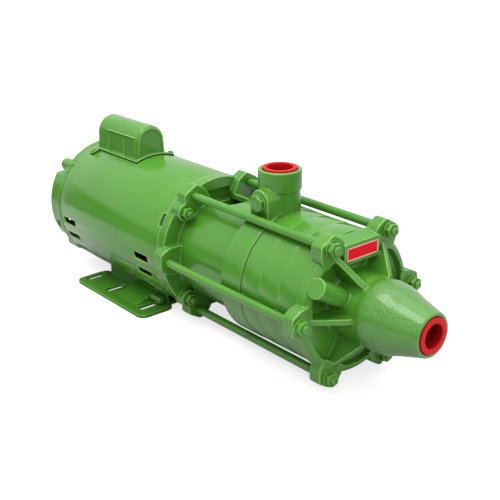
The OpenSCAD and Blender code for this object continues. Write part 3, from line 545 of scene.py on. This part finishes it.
black_plastic = surface("black_plastic", GRAIN, {
    "Base": rgb(26, 26, 28), "Fleck": rgb(44, 44, 46), "Amount": 0.5, "Size": 350.0, "Rough": 0.42,
    "Spread": 0.2}, bump=0.25, depth=0.15)
turned_steel = surface("turned_steel", GRAIN, {
    "Base": rgb(190, 192, 196), "Fleck": rgb(140, 142, 146), "Amount": 0.5, "Size": 120.0, "Stretch": 14.0,
    "Rough": 0.26, "Spread": 0.2}, bump=0.2, depth=0.05, Metallic=1.0)
core_iron = surface("core_iron", GRAIN, {
    "Base": rgb(98, 100, 104), "Fleck": rgb(62, 52, 44), "Amount": 0.6, "Size": 60.0, "Stretch": 30.0,
    "Rough": 0.5, "Spread": 0.25}, bump=0.4, depth=0.2, Metallic=0.9)
bare_iron = surface("bare_iron", GRAIN, {
    "Base": rgb(120, 120, 120), "Fleck": rgb(80, 76, 72), "Amount": 0.6, "Size": 350.0, "Rough": 0.5,
    "Spread": 0.2}, bump=0.5, depth=0.2, Metallic=0.85)
satin_brass = surface("satin_brass", GRAIN, {
    "Base": rgb(212, 176, 104), "Fleck": rgb(168, 128, 66), "Amount": 0.5, "Size": 300.0, "Rough": 0.32,
    "Spread": 0.15}, bump=0.25, depth=0.1, Metallic=1.0)
winding_copper = surface("winding_copper", GRAIN, {
    "Base": rgb(176, 92, 48), "Fleck": rgb(110, 50, 26), "Amount": 0.7, "Size": 160.0, "Stretch": 0.2,
    "Rough": 0.36, "Spread": 0.2}, bump=0.6, depth=0.4, Metallic=0.7)
seal_ceramic = surface("seal_ceramic", GRAIN, {
    "Base": rgb(236, 234, 226), "Fleck": rgb(214, 210, 200), "Amount": 0.3, "Size": 500.0, "Rough": 0.2,
    "Spread": 0.1}, bump=0.05, depth=0.05)

SLOT_MATERIALS = {
    "green_enamel": cast_enamel, "steel": turned_steel, "core_iron": core_iron, "bare_iron": bare_iron,
    "brass": satin_brass, "winding_copper": winding_copper, "black_plastic": black_plastic,
    "black_rubber": black_rubber, "seal_ceramic": seal_ceramic, "red_plastic": red_plastic,
    "red_plate": red_plate}

for part in frame["record"]["subparts"]:
    carried = nodes[part["node"]]
    carried.data.materials.clear()
    carried.data.materials.append(SLOT_MATERIALS[part["material_slot"]])
for name in ("through_bolts", "through_bolt_nuts", "tie_rods", "tie_rod_nuts", "tie_rod_washers", "cover_screws",
             "plug_washer"):
    nodes[name].data.materials[0] = bolt_enamel

# Motor shell and bracket


def vent(x, degrees):
    """Cutter for a round-ended slot through the shell."""
    half = VENT_W / 2
    outline = eased([(x, -half), (x + VENT_LEN, -half), (x + VENT_LEN, half), (x, half)], VENT_CORNER)
    return prism(outline, SHELL_R - 6, SHELL_R + 4, round_shaft(degrees) @ OUTWARDS)


def rim_notches(depth, past_joint):
    """Cutters for the two notches where the shell meets the bracket's rim."""
    low = (SHELL_FRONT_X - NOTCH_LEN, SHELL_R - depth, -NOTCH_W / 2)
    high = (SHELL_FRONT_X + past_joint, SHELL_R + 5, NOTCH_W / 2)
    return [slab(low, high, round_shaft(a)) for a in NOTCH_ANGLES]


def make_motor_shell():
    """Rolled sheet with a gap behind the rear bell's edge, twelve vents and two notches."""
    inner, back = SHELL_R - SHELL_WALL, SHELL_X + 2.2
    shell = as_piece("motor_shell_skin", lathe(eased([
        (back, inner), (SHELL_FRONT_X, inner), (SHELL_FRONT_X, SHELL_R), (back, SHELL_R)], 0.7, 2), turns=256))
    cut(shell, *[vent(x, a) for x in VENT_ROWS_X for a in VENT_ANGLES], *rim_notches(5, 2))
    ease_edges(shell, 0.5)
    shade(shell)
    finish_piece(shell, "housing", "green_enamel", sheet_enamel, "motor_shell")


def ear(x, length, root, degrees):
    """Block that carries one tie rod, narrower at its tip."""
    half, tip_half, shoulder = 17, 10, EAR_REACH - 13
    outline = eased([(root, -half), (shoulder, -half), (EAR_REACH, -tip_half), (EAR_REACH, tip_half),
                     (shoulder, half), (root, half)], 3.5)
    return prism(outline, x, x + length, round_shaft(degrees))


def bolt_boss(degrees):
    """Round boss on the bracket's front face, where a through bolt ends."""
    return prism(circle(10.5, 40, (BOLT_CIRCLE_R, 0)), EAR_X - EAR_T, EAR_X, round_shaft(degrees))


def lantern_window(degrees):
    """Cutter for a window with one round end, through the lantern's wall."""
    back, half, reach = RIM_X - 6, 17, 34
    turns = [math.pi * k / 24 for k in range(25)]
    outline = [(back, -half)] + [(back + reach + half * math.sin(a), -half * math.cos(a)) for a in turns]
    outline.append((back, half))
    return prism(outline, LANTERN_R - LANTERN_WALL - 4, LANTERN_R + 5.5, round_shaft(degrees) @ OUTWARDS)


def make_bracket():
    """One casting: the motor's front rim, the bearing seat, the open lantern, six ears and four bolt bosses."""
    inside, end = LANTERN_R - LANTERN_WALL, DISCHARGE_X - 0.2
    back, spigot_r, web_r = 106, 81.45, 64
    seat_x, seat_end_x, seat_r, hub_r, hole_r, end_hole_r = 98, 114, 23.6, 30.5, 13, 41
    bracket = as_piece("pump_bracket_skin", lathe([
        (back, web_r), (back, spigot_r), (SHELL_FRONT_X, spigot_r), (SHELL_FRONT_X + 0.2, RIM_R), (RIM_X, RIM_R),
        (RIM_X, LANTERN_R + 1.5), (RIM_X + 1.5, LANTERN_R), (end, LANTERN_R), (end, end_hole_r),
        (DISCHARGE_X - 8, end_hole_r), (DISCHARGE_X - 12, inside), (RIM_X, inside), (RIM_X, 26), (118, hole_r),
        (seat_end_x, hole_r), (seat_end_x, seat_r), (seat_x, seat_r), (seat_x, hub_r), (119, 34.5), (119, web_r)]))
    rim_gap = prism([(LANTERN_R + 2, -18.5), (RIM_R + 3, -31), (RIM_R + 3, 31), (LANTERN_R + 2, 18.5)],
                    SHELL_FRONT_X - 1, RIM_X + 1, round_shaft(270))
    cut(bracket, lantern_window(90), lantern_window(270), rim_gap, *rim_notches(12, 0))
    add(bracket, *[ear(EAR_X - EAR_T, EAR_T, LANTERN_R - 4, a) for a in EAR_ANGLES],
        *[bolt_boss(a) for a in BOLT_ANGLES])
    flow(bracket, 0.9, 3)
    finish_piece(bracket, "housing", "green_enamel", cast_enamel, "pump_bracket")


make_motor_shell()
make_bracket()

# Rods, bolts, nuts and washers


def hex_block(flats, height, place, spin=0):
    """Hexagon with its outer corners turned off to a cone."""
    piece = as_piece("hex_block", prism(hexagon(flats), 0, height, place @ Matrix.Rotation(spin, 4, "X")))
    r = flats / 2
    cone = lathe([(-1, 0), (-1, r + 8), (height - 0.9, r * 1.155 + 0.15), (height, r * 0.97), (height, 0)],
                 place, 48)
    carve(piece, as_piece("hex_cone", cone), "INTERSECT")
    return taken_from(piece)


def fit_fasteners(name, node_name, solids, edge=0):
    """All fasteners of one kind as one painted piece."""
    piece = as_piece(name, *solids)
    if edge:
        ease_edges(piece, edge)
    shade(piece)
    finish_piece(piece, "housing", "green_enamel", bolt_enamel, node_name)


def make_tie_rods():
    start, tip = EAR_X - EAR_T + 2, 1
    rod = [(start, 0), (start, ROD_R), (ROD_END_X - tip, ROD_R), (ROD_END_X, ROD_R - tip), (ROD_END_X, 0)]
    fit_fasteners("tie_rod_bars", "tie_rods", [lathe(rod, beside_shaft(0, ROD_CIRCLE_R, a), 40)
                                               for a in EAR_ANGLES])
    seat, top, hole_r, rim_r = FLANGE_X + 0.02, FLANGE_X + WASHER_T, 4.9, 8.9
    washer = eased([(seat, hole_r), (seat, rim_r), (top, rim_r), (top, hole_r)], 0.35, 2)
    fit_fasteners("rod_washer_discs", "tie_rod_washers", [lathe(washer, beside_shaft(0, ROD_CIRCLE_R, a), 48)
                                                          for a in EAR_ANGLES])
    fit_fasteners("rod_nut_hexes", "tie_rod_nuts", [
        hex_block(14.3, 6, beside_shaft(top, ROD_CIRCLE_R, a), math.radians(12 * i))
        for i, a in enumerate(EAR_ANGLES)], 0.35)


def make_through_bolts():
    back, shank_r, tip_x = SHELL_X - 25, 3.6, EAR_X + 9.5
    shank = [(back - 1, 0), (back - 1, shank_r), (tip_x - 0.9, shank_r), (tip_x, shank_r - 0.8), (tip_x, 0)]
    heads = [hex_block(11, 5, beside_shaft(back, BOLT_CIRCLE_R, a) @ Matrix.Rotation(math.pi, 4, "Z"),
                       math.radians(10 + 15 * i)) for i, a in enumerate(BOLT_ANGLES)]
    shanks = [lathe(shank, beside_shaft(0, BOLT_CIRCLE_R, a), 32) for a in BOLT_ANGLES]
    fit_fasteners("through_bolt_bars", "through_bolts", shanks + heads)
    fit_fasteners("bolt_nut_hexes", "through_bolt_nuts", [
        hex_block(13, 6, beside_shaft(EAR_X, BOLT_CIRCLE_R, a), math.radians(20 * i))
        for i, a in enumerate(BOLT_ANGLES)], 0.35)


make_tie_rods()
make_through_bolts()

# Capacitor cover

COVER_FRONT_X = COVER_X + COVER_LEN
COVER_NEAR_Y = COVER_Y - COVER_W / 2
COVER_FAR_Y = COVER_Y + COVER_W / 2
PANELS_X = ((-71, -36.5), (-34.5, -10))
PANEL_LOW, PANEL_TOP = 70, 108.5


def arch(inset, low=60):
    """Outline of the cover across the motor: straight sides under a half round."""
    r = COVER_W / 2 - inset
    crown = COVER_TOP - SHAFT_H - inset - r
    return [(COVER_Y + r * math.cos(math.pi * k / 40), crown + r * math.sin(math.pi * k / 40))
            for k in range(41)] + [(COVER_Y - r - 2.4, low), (COVER_Y + r + 2.4, low)]


def cover_box(steps=6):
    """Pressed box whose two ends are eased into the arch."""
    mesh = bmesh.new()
    rings = []
    for k in range(2 * steps + 2):
        rear = k <= steps
        turn = math.pi / 2 * (k if rear else 2 * steps + 1 - k) / steps
        inset = COVER_EDGE * (1 - math.sin(turn))
        shift = COVER_EDGE * (1 - math.cos(turn))
        x = COVER_X + shift if rear else COVER_FRONT_X - shift
        rings.append([mesh.verts.new(ON_SHAFT @ Vector((x, p[0], p[1])) * MM) for p in arch(inset)])
    for k in range(len(rings) - 1):
        for i in range(len(rings[k])):
            j = (i + 1) % len(rings[k])
            mesh.faces.new((rings[k][i], rings[k][j], rings[k + 1][j], rings[k + 1][i]))
    mesh.faces.new(rings[0])
    mesh.faces.new(rings[-1])
    close_up(mesh)
    return mesh


def cover_flange():
    """Thin flange on the shell: the cover's footprint with an ear for each corner screw."""
    low, high = 40, 90
    skirt = as_piece("cover_skirt", slab((COVER_X - 3, COVER_NEAR_Y - 3, low),
                                         (COVER_FRONT_X + 3, COVER_FAR_Y + 3, high), ON_SHAFT))
    ears = []
    for x, y in ((COVER_X + 3, COVER_NEAR_Y - 9.5), (COVER_FRONT_X - 2, COVER_FAR_Y + 9.5)):
        side = sorted((y, COVER_Y))
        ears.append(prism([(side[0], low), (side[1], low), (side[1], high), (side[0], high)],
                          x - 4.5, x + 4.5, ON_SHAFT))
        upright = Matrix.Translation((x, y, SHAFT_H)) @ Matrix.Rotation(-math.pi / 2, 4, "Y")
        ears.append(prism(circle(4.5, 40), low, high + 2, upright))
    add(skirt, *ears)
    flow(skirt, 0.6, 0)
    back, end, top_r = COVER_X - 10, COVER_FRONT_X + 10, COVER_SEAT_R + COVER_FLANGE_T
    band = as_piece("cover_band", lathe([(back, COVER_SEAT_R), (back, top_r), (end, top_r), (end, COVER_SEAT_R)]))
    carve(band, skirt, "INTERSECT")
    return taken_from(band)


def make_cover():
    """Cover with a sunk front inside a raised bead, two sunk panels on its near side and a ridge over them."""
    front, near = COVER_FRONT_X, COVER_NEAR_Y
    cover = as_piece("capacitor_cover_skin", cover_box())
    cut(cover, prism(arch(4.2, PANEL_LOW), front - 1.2, front + 2, ON_SHAFT),
        *[slab((start, near - 3, PANEL_LOW), (end, near + 0.9, PANEL_TOP), ON_SHAFT) for start, end in PANELS_X])
    bead = as_piece("cover_bead", prism(arch(2.9, PANEL_LOW), front - 2, front + 0.6, ON_SHAFT))
    cut(bead, prism(arch(4.6), front - 3, front + 2, ON_SHAFT))
    cut(cover, lathe([(COVER_X - 20, 0), (COVER_X - 20, COVER_SEAT_R), (front + 20, COVER_SEAT_R), (front + 20, 0)]))
    ridge = slab((PANELS_X[0][0], near - 0.7, PANEL_TOP + 0.2), (PANELS_X[1][1], near + 1, PANEL_TOP + 1.8), ON_SHAFT)
    add(cover, taken_from(bead), ridge)
    add(cover, cover_flange())
    flow(cover, 0.5, 2)
    finish_piece(cover, "housing", "green_enamel", sheet_enamel, "capacitor_cover")


make_cover()

# Pump casings


def plug_web(half, length):
    """Web under the plug's boss, wider at its foot on the casing."""
    low, side = LANTERN_R + 2 - PLUG_H, PLUG_BOSS_R - 1
    return prism([(-half, low), (half, low), (half - 1.5, low + 7), (side, 0), (-side, 0), (1.5 - half, low + 7)],
                 0, length, ON_PLUG)


def make_discharge_casing():
    """Casing with the upright port in its neck and collar, the plug's boss, and a groove at the first joint."""
    back, hole_r, wall_x = DISCHARGE_X - SPIGOT_LEN, 12, DISCHARGE_X + 9
    face, face_r = DISCHARGE_X + 0.1, 40
    lip, groove, groove_r = STAGE_X - 1.6, STAGE_X - SPIGOT_LEN - 0.6, SPIGOT_R + 0.2
    body = as_piece("discharge_casing_skin", lathe(eased([
        (back, hole_r), (back, face_r), (face, face_r), (face, DISCHARGE_R), (lip, DISCHARGE_R), (lip, groove_r),
        (groove, groove_r), (groove, STAGE_BORE_R), (wall_x, STAGE_BORE_R), (wall_x, hole_r)], 1.0, 2)))
    neck_h, collar_h, floor_h = LANTERN_R + 3, PORT_H - COLLAR_LEN, PORT_H - PORT_DEPTH
    add(body, lathe([(neck_h, 0), (neck_h, NECK_R + 1.5), (neck_h + 11, NECK_R + 0.5), (collar_h + 1, NECK_R),
                     (collar_h + 1, 0)], ON_PORT),
        lathe([(collar_h, 0), (collar_h, COLLAR_R - 0.6), (collar_h + 0.8, COLLAR_R), (PORT_H - 1, COLLAR_R),
               (PORT_H, COLLAR_R - 1), (PORT_H, PORT_R + 0.6), (PORT_H - 1, PORT_R), (floor_h, PORT_R),
               (floor_h, 0)], ON_PORT),
        lathe([(0, 0), (0, PLUG_BOSS_R), (PLUG_FACE, PLUG_BOSS_R), (PLUG_FACE, 0)], ON_PLUG, 96),
        slab((0, -PLUG_BOSS_R, LANTERN_R + 2 - PLUG_H), (PLUG_FACE, PLUG_BOSS_R, 0), ON_PLUG),
        *[plug_web(half, PLUG_FACE - 4 - 2.5 * (half - 15)) for half in (15, 16.5, 18)])
    flow(body, 0.8, 4)
    finish_piece(body, "housing", "green_enamel", cast_enamel, "discharge_casing")


def make_stage_casings():
    wall_x, hub_r, rim_depth, seat_r = 21.15, 28.1, 3.6, SPIGOT_R + 0.2
    for k in range(3):
        x = STAGE_X + k * STAGE_PITCH
        end = x + STAGE_PITCH
        ring = as_piece("stage_ring_%d" % (k + 1), lathe(eased([
            (x - SPIGOT_LEN, STAGE_BORE_R), (x - SPIGOT_LEN, SPIGOT_R), (x, SPIGOT_R), (x, STAGE_R),
            (end, STAGE_R), (end, seat_r), (end - rim_depth, seat_r), (end - rim_depth, hub_r),
            (x + wall_x, hub_r), (x + wall_x, STAGE_BORE_R)], 0.3, 2), turns=256))
        shade(ring)
        finish_piece(ring, "housing", "green_enamel", ring_enamel, "stage_casing_%d" % (k + 1))


def rib(degrees):
    """Web from the flange to the nose, square at its outer end."""
    outline = eased([(72, -10), (69, 1), (40, 24.5), (38.6, 25.5), (33, 25.5), (33, -4), (50, -12)],
                    [0, 0.5, 0.5, 0.5, 0, 0, 0], 2)
    return prism(outline, -3.25, 3.25, on_flange(degrees) @ SIDEWAYS)


def suction_profile():
    """Turned profile: the flange's rim and sunk face, the stepped and bowed nose, then the inside."""
    rim, face = FLANGE_X - 0.4, FLANGE_X - 8.5
    wall, port_floor = face - 4, NOSE_X - PORT_DEPTH
    seat, spigot = SUCTION_X + 0.2, SUCTION_X - SPIGOT_LEN
    return [(seat, 77), (rim - 5, 77), (rim, 72), (rim, 68.5), (face + 1, 66.3), (face, 64.3),
            *bow((face, 42), (face + 0.5, 36.8), (face + 8, 36.3)),
            *bow((FLANGE_X + 18, 36), (FLANGE_X + 26, 35.2), (FLANGE_X + 31, 37.6)),
            *bow((FLANGE_X + 35, 38), (FLANGE_X + 52, 38.5), (FLANGE_X + 67, 32.2), 12),
            (NOSE_X - 1, NOSE_END_R + 1), (NOSE_X, NOSE_END_R), (NOSE_X, PORT_R + 0.6), (NOSE_X - 1, PORT_R),
            (port_floor, PORT_R), (port_floor, 24), (SUCTION_X + 70, 30), (wall + 10, 30), (wall + 1, 31.5),
            (wall, 37), (wall, 62), (SUCTION_X, STAGE_BORE_R), (spigot, STAGE_BORE_R), (spigot, SPIGOT_R),
            (seat, SPIGOT_R)]


def make_suction_casing():
    """Nose and flange with six ears, six ribs, the plate's sloping seat and a blank boss."""
    body = as_piece("suction_casing_skin", lathe(suction_profile(), turns=256))
    upright = on_flange(90) @ SIDEWAYS
    cut(body, prism([(70.1, 3), (74.1, -16.5), (92, -16.5), (92, 3)], -21, 21, upright))
    plate_seat = prism([(49, -10), (49, 3), (71.1, 3), (75.1, -15.3), (67, -15.3), (60, -10)], -25, 25, upright)
    blank_boss = prism(circle(11, 64), 33, 76, on_flange(150, FLANGE_X + 4.5) @ OUTWARDS)
    add(body, *[ear(SUCTION_X + 0.2, 15.3, 65, a) for a in EAR_ANGLES], *[rib(a) for a in EAR_ANGLES],
        plate_seat, blank_boss)
    flow(body, 0.8, 3)
    finish_piece(body, "housing", "green_enamel", cast_enamel, "suction_casing")
    body.data.materials.append(rough_enamel)
    for face in body.data.polygons:
        face.material_index = int(face.center.x > ROUGH_NOSE_X * MM)


make_discharge_casing()
make_stage_casings()
make_suction_casing()

# Red protectors, plate, plug and the foot's stub


def make_protector(name, place, body, inner):
    """Cup in a port, with a step in its bore."""
    outer, floor, lip = PORT_R - 0.3, 2 - PORT_DEPTH, 1.5
    cup = as_piece(name, lathe(eased([
        (floor, 0), (floor, outer), (lip, outer), (lip, inner), (floor + 7, inner), (floor + 7, inner - 3),
        (floor + 2, inner - 3), (floor + 2, 0)], [0, 0.6, 0.9, 1.0, 0.5, 0.6, 0.5, 0], 4), place, 128))
    shade(cup)
    finish_piece(cup, body, "red_plastic", red_plastic, body)


def make_plate():
    """Bare red plate inside a thin pale line."""
    half_h, half_w, thickness = 7, 22.3, 1.2
    on_seat = round_shaft(90) @ Matrix.Translation((FLANGE_X + 2.2, 60.4, 0))
    outline = eased([(-half_h, -half_w), (half_h, -half_w), (half_h, half_w), (-half_h, half_w)], 1.6, 4)
    plate = as_piece("name_plate_blank", prism(outline, 0, thickness, on_seat))
    finish_piece(plate, "housing", "red_plate", red_plate, "name_plate")
    plate.data.materials.append(pale_border)
    mesh = bmesh.new()
    mesh.from_mesh(plate.data)
    front = max((face for face in mesh.faces if len(face.verts) > 8), key=lambda f: f.calc_center_median().x)
    margin = bmesh.ops.inset_region(mesh, faces=[front], thickness=0.4 * MM)["faces"]
    line = bmesh.ops.inset_region(mesh, faces=[front], thickness=0.8 * MM)["faces"]
    for face in margin + line:
        face.material_index = 1
    bmesh.ops.inset_region(mesh, faces=[front], thickness=0.2 * MM, depth=-0.15 * MM)
    mesh.to_mesh(plate.data)
    mesh.free()


def make_plug():
    """Hex head over a short plain shank."""
    face, shank_r = PLUG_FACE + 1, 6.5
    plug = as_piece("priming_plug_head", hex_block(17, 4.5, ON_PLUG @ Matrix.Translation((face, 0, 0))),
                    lathe([(face - 13, 0), (face - 13, shank_r), (face + 1, shank_r), (face + 1, 0)], ON_PLUG, 48))
    ease_edges(plug, 0.4)
    shade(plug)
    finish_piece(plug, "priming_plug", "green_enamel", bolt_enamel, "priming_plug")


def make_foot_stub():
    """Round end of a cross bolt, low beside the foot's front slot."""
    place, back, end, r = Matrix.Translation((0, -51.5, 8.8)), 55, 74, 4.4
    stub = as_piece("foot_bolt_stub",
                    lathe(eased([(back, 0), (back, r), (end, r), (end, 0)], [0, 0, 1.2, 0], 3), place, 48),
                    slab((57, 0, -6), (70, 5, 2), place))
    shade(stub)
    finish_piece(stub, "housing", "green_enamel", bolt_enamel)


make_protector("discharge_protector_cup", ON_PORT @ Matrix.Translation((PORT_H, 0, 0)),
               "discharge_protector", inner=14.4)
make_protector("suction_protector_cup", ON_SHAFT @ Matrix.Translation((NOSE_X, 0, 0)),
               "suction_protector", inner=13)
make_plate()
make_plug()
make_foot_stub()

# Bell and foot keep their solids, with their corners run together

for name, voxel, rounds, material in (("rear_end_bell", 0.9, 3, ring_enamel), ("motor_foot", 0.8, 2, foot_shaded_enamel)):
    nodes[name].data.materials[0] = material
    lay_skin(nodes[name], voxel, rounds)

# Floor, light and camera; lengths here are in metres

# From the object towards the camera, along the floor
FORWARD = Vector((0.769, -0.639, 0.0))

GREY_SHEET = (0.42, 0.42, 0.42, 1)
BLACK_SHEET = (0.03, 0.03, 0.03, 1)
DIM_WALL = (0.05, 0.05, 0.05, 1)
WHITE = (1.0, 1.0, 1.0, 1)
BRIGHT_CEILING = (2.6, 2.6, 2.6, 1)


def make_floor():
    """Sheet that the camera sees as white, except where the object shades it."""
    mesh = bmesh.new()
    bmesh.ops.create_grid(mesh, x_segments=1, y_segments=1, size=30)
    floor = as_piece("studio_floor", mesh)
    material = bpy.data.materials.new("studio_floor_white")
    material.use_nodes = True
    tree = material.node_tree
    shader = tree.nodes["Principled BSDF"]
    shader.inputs["Base Color"].default_value = GREY_SHEET
    shader.inputs["Roughness"].default_value = 0.9
    far = node(tree, "VectorMath", {"operation": "LENGTH"}, i0=node(tree, "TexCoord").outputs["Object"])
    lift = node(tree, "MapRange", Value=far.outputs["Value"])
    for key, value in (("From Min", 0.6), ("From Max", 2.5), ("To Min", 0.72), ("To Max", 1.0)):
        lift.inputs[key].default_value = value
    seen = times(tree, node(tree, "LightPath").outputs["Is Camera Ray"], lift.outputs["Result"])
    shader.inputs["Emission Color"].default_value = WHITE
    tree.links.new(seen, shader.inputs["Emission Strength"])
    floor.data.materials.append(material)


def make_dark_surround():
    """Dark part ring on the camera's side of the white sheet, seen only as a reflection in the paint."""
    near, far, height, centre_x, parts = 0.72, 25, 0.003, 0.1, 64
    mesh = bmesh.new()
    rings = [[mesh.verts.new((r * math.cos(2 * math.pi * k / parts) + centre_x, r * math.sin(2 * math.pi * k / parts),
                              height)) for k in range(parts)] for r in (near, far)]
    for k in range(parts):
        if rings[1][k].co.normalized().dot(FORWARD) > -0.5:
            mesh.faces.new((rings[0][k - 1], rings[0][k], rings[1][k], rings[1][k - 1]))
    surround = as_piece("studio_dark_surround", mesh)
    material = bpy.data.materials.new("studio_surround_dark")
    material.use_nodes = True
    material.node_tree.nodes["Principled BSDF"].inputs["Base Color"].default_value = BLACK_SHEET
    surround.data.materials.append(material)
    surround.visible_camera = False
    surround.visible_diffuse = False
    surround.visible_shadow = False
    surround.visible_transmission = False


def make_world():
    """White to the camera; otherwise a dim wall low on the camera's side, white round it and a bright ceiling."""
    world = bpy.data.worlds.new("studio_world")
    bpy.context.scene.world = world
    world.use_nodes = True
    tree = world.node_tree
    tree.nodes.clear()
    around = node(tree, "TexCoord").outputs["Generated"]
    up = node(tree, "SeparateXYZ", Vector=around).outputs["Z"]
    front = node(tree, "VectorMath", {"operation": "DOT_PRODUCT"}, i0=around, i1=FORWARD).outputs["Value"]
    lit = node(tree, "Math", {"operation": "MAXIMUM"}, i0=ramp(tree, up, 0.06, 0.18),
               i1=ramp(tree, front, -0.45, -0.65)).outputs[0]
    tone = blended(tree, lit, DIM_WALL, WHITE)
    tone = blended(tree, ramp(tree, up, 0.75, 0.95), tone, BRIGHT_CEILING)
    studio = node(tree, "Background", Color=tone, Strength=0.78)
    backdrop = node(tree, "Background", Color=WHITE, Strength=1.0)
    mixed = node(tree, "MixShader", i0=node(tree, "LightPath").outputs["Is Camera Ray"], i1=studio.outputs[0],
                 i2=backdrop.outputs[0])
    out = tree.nodes.new("ShaderNodeOutputWorld")
    tree.links.new(mixed.outputs[0], out.inputs["Surface"])


def lamp(name, place, aim, size, watts, glint=False):
    """Soft lamp whose own outline stays out of the paint's reflections, unless it is there for a glint."""
    data = bpy.data.lights.new(name, "AREA")
    data.shape = "RECTANGLE"
    data.size, data.size_y = size
    data.energy = watts
    light = bpy.data.objects.new(name, data)
    light.location = place
    light.rotation_mode = "QUATERNION"
    light.rotation_quaternion = (Vector(aim) - Vector(place)).to_track_quat("-Z", "Y")
    light.visible_glossy = glint
    bpy.context.scene.collection.objects.link(light)


def make_camera(x, y, z, azimuth, height, roll, lens):
    """Camera as solved from the photograph's circles and rods; angles in degrees."""
    azimuth, height, roll = math.radians(azimuth), math.radians(height), math.radians(roll)
    back = Vector((math.sin(azimuth) * math.cos(height), -math.cos(azimuth) * math.cos(height), math.sin(height)))
    right = Vector((math.cos(azimuth), math.sin(azimuth), 0))
    up = back.cross(right)
    side = math.cos(roll) * right + math.sin(roll) * up
    top = -math.sin(roll) * right + math.cos(roll) * up
    data = bpy.data.cameras.new("photo_camera")
    data.sensor_width = 36
    data.lens = lens
    camera = bpy.data.objects.new("photo_camera", data)
    camera.matrix_world = Matrix(((side.x, top.x, back.x, x), (side.y, top.y, back.y, y),
                                  (side.z, top.z, back.z, z), (0, 0, 0, 1)))
    bpy.context.scene.collection.objects.link(camera)
    bpy.context.scene.camera = camera


make_floor()
make_dark_surround()
make_world()
lamp("key_softbox", place=(-0.5, -1.0, 1.9), aim=(0.1, 0, 0.1), size=(1.2, 0.9), watts=17)
lamp("top_softbox", place=(0.1, 0.6, 1.8), aim=(0.15, 0, 0.1), size=(1.4, 0.9), watts=13)
lamp("fill_softbox", place=(1.7, -0.5, 0.9), aim=(0.2, 0, 0.1), size=(1.0, 0.8), watts=10)
lamp("glint_softbox", place=(0.18, -0.41, 1.51), aim=(0.42, 0, 0.09), size=(0.9, 0.6), watts=6, glint=True)
make_camera(0.954, -0.6375, 0.4895, azimuth=50.31, height=21.44, roll=-0.74, lens=66.25)

bpy.context.scene.view_settings.view_transform = "Standard"
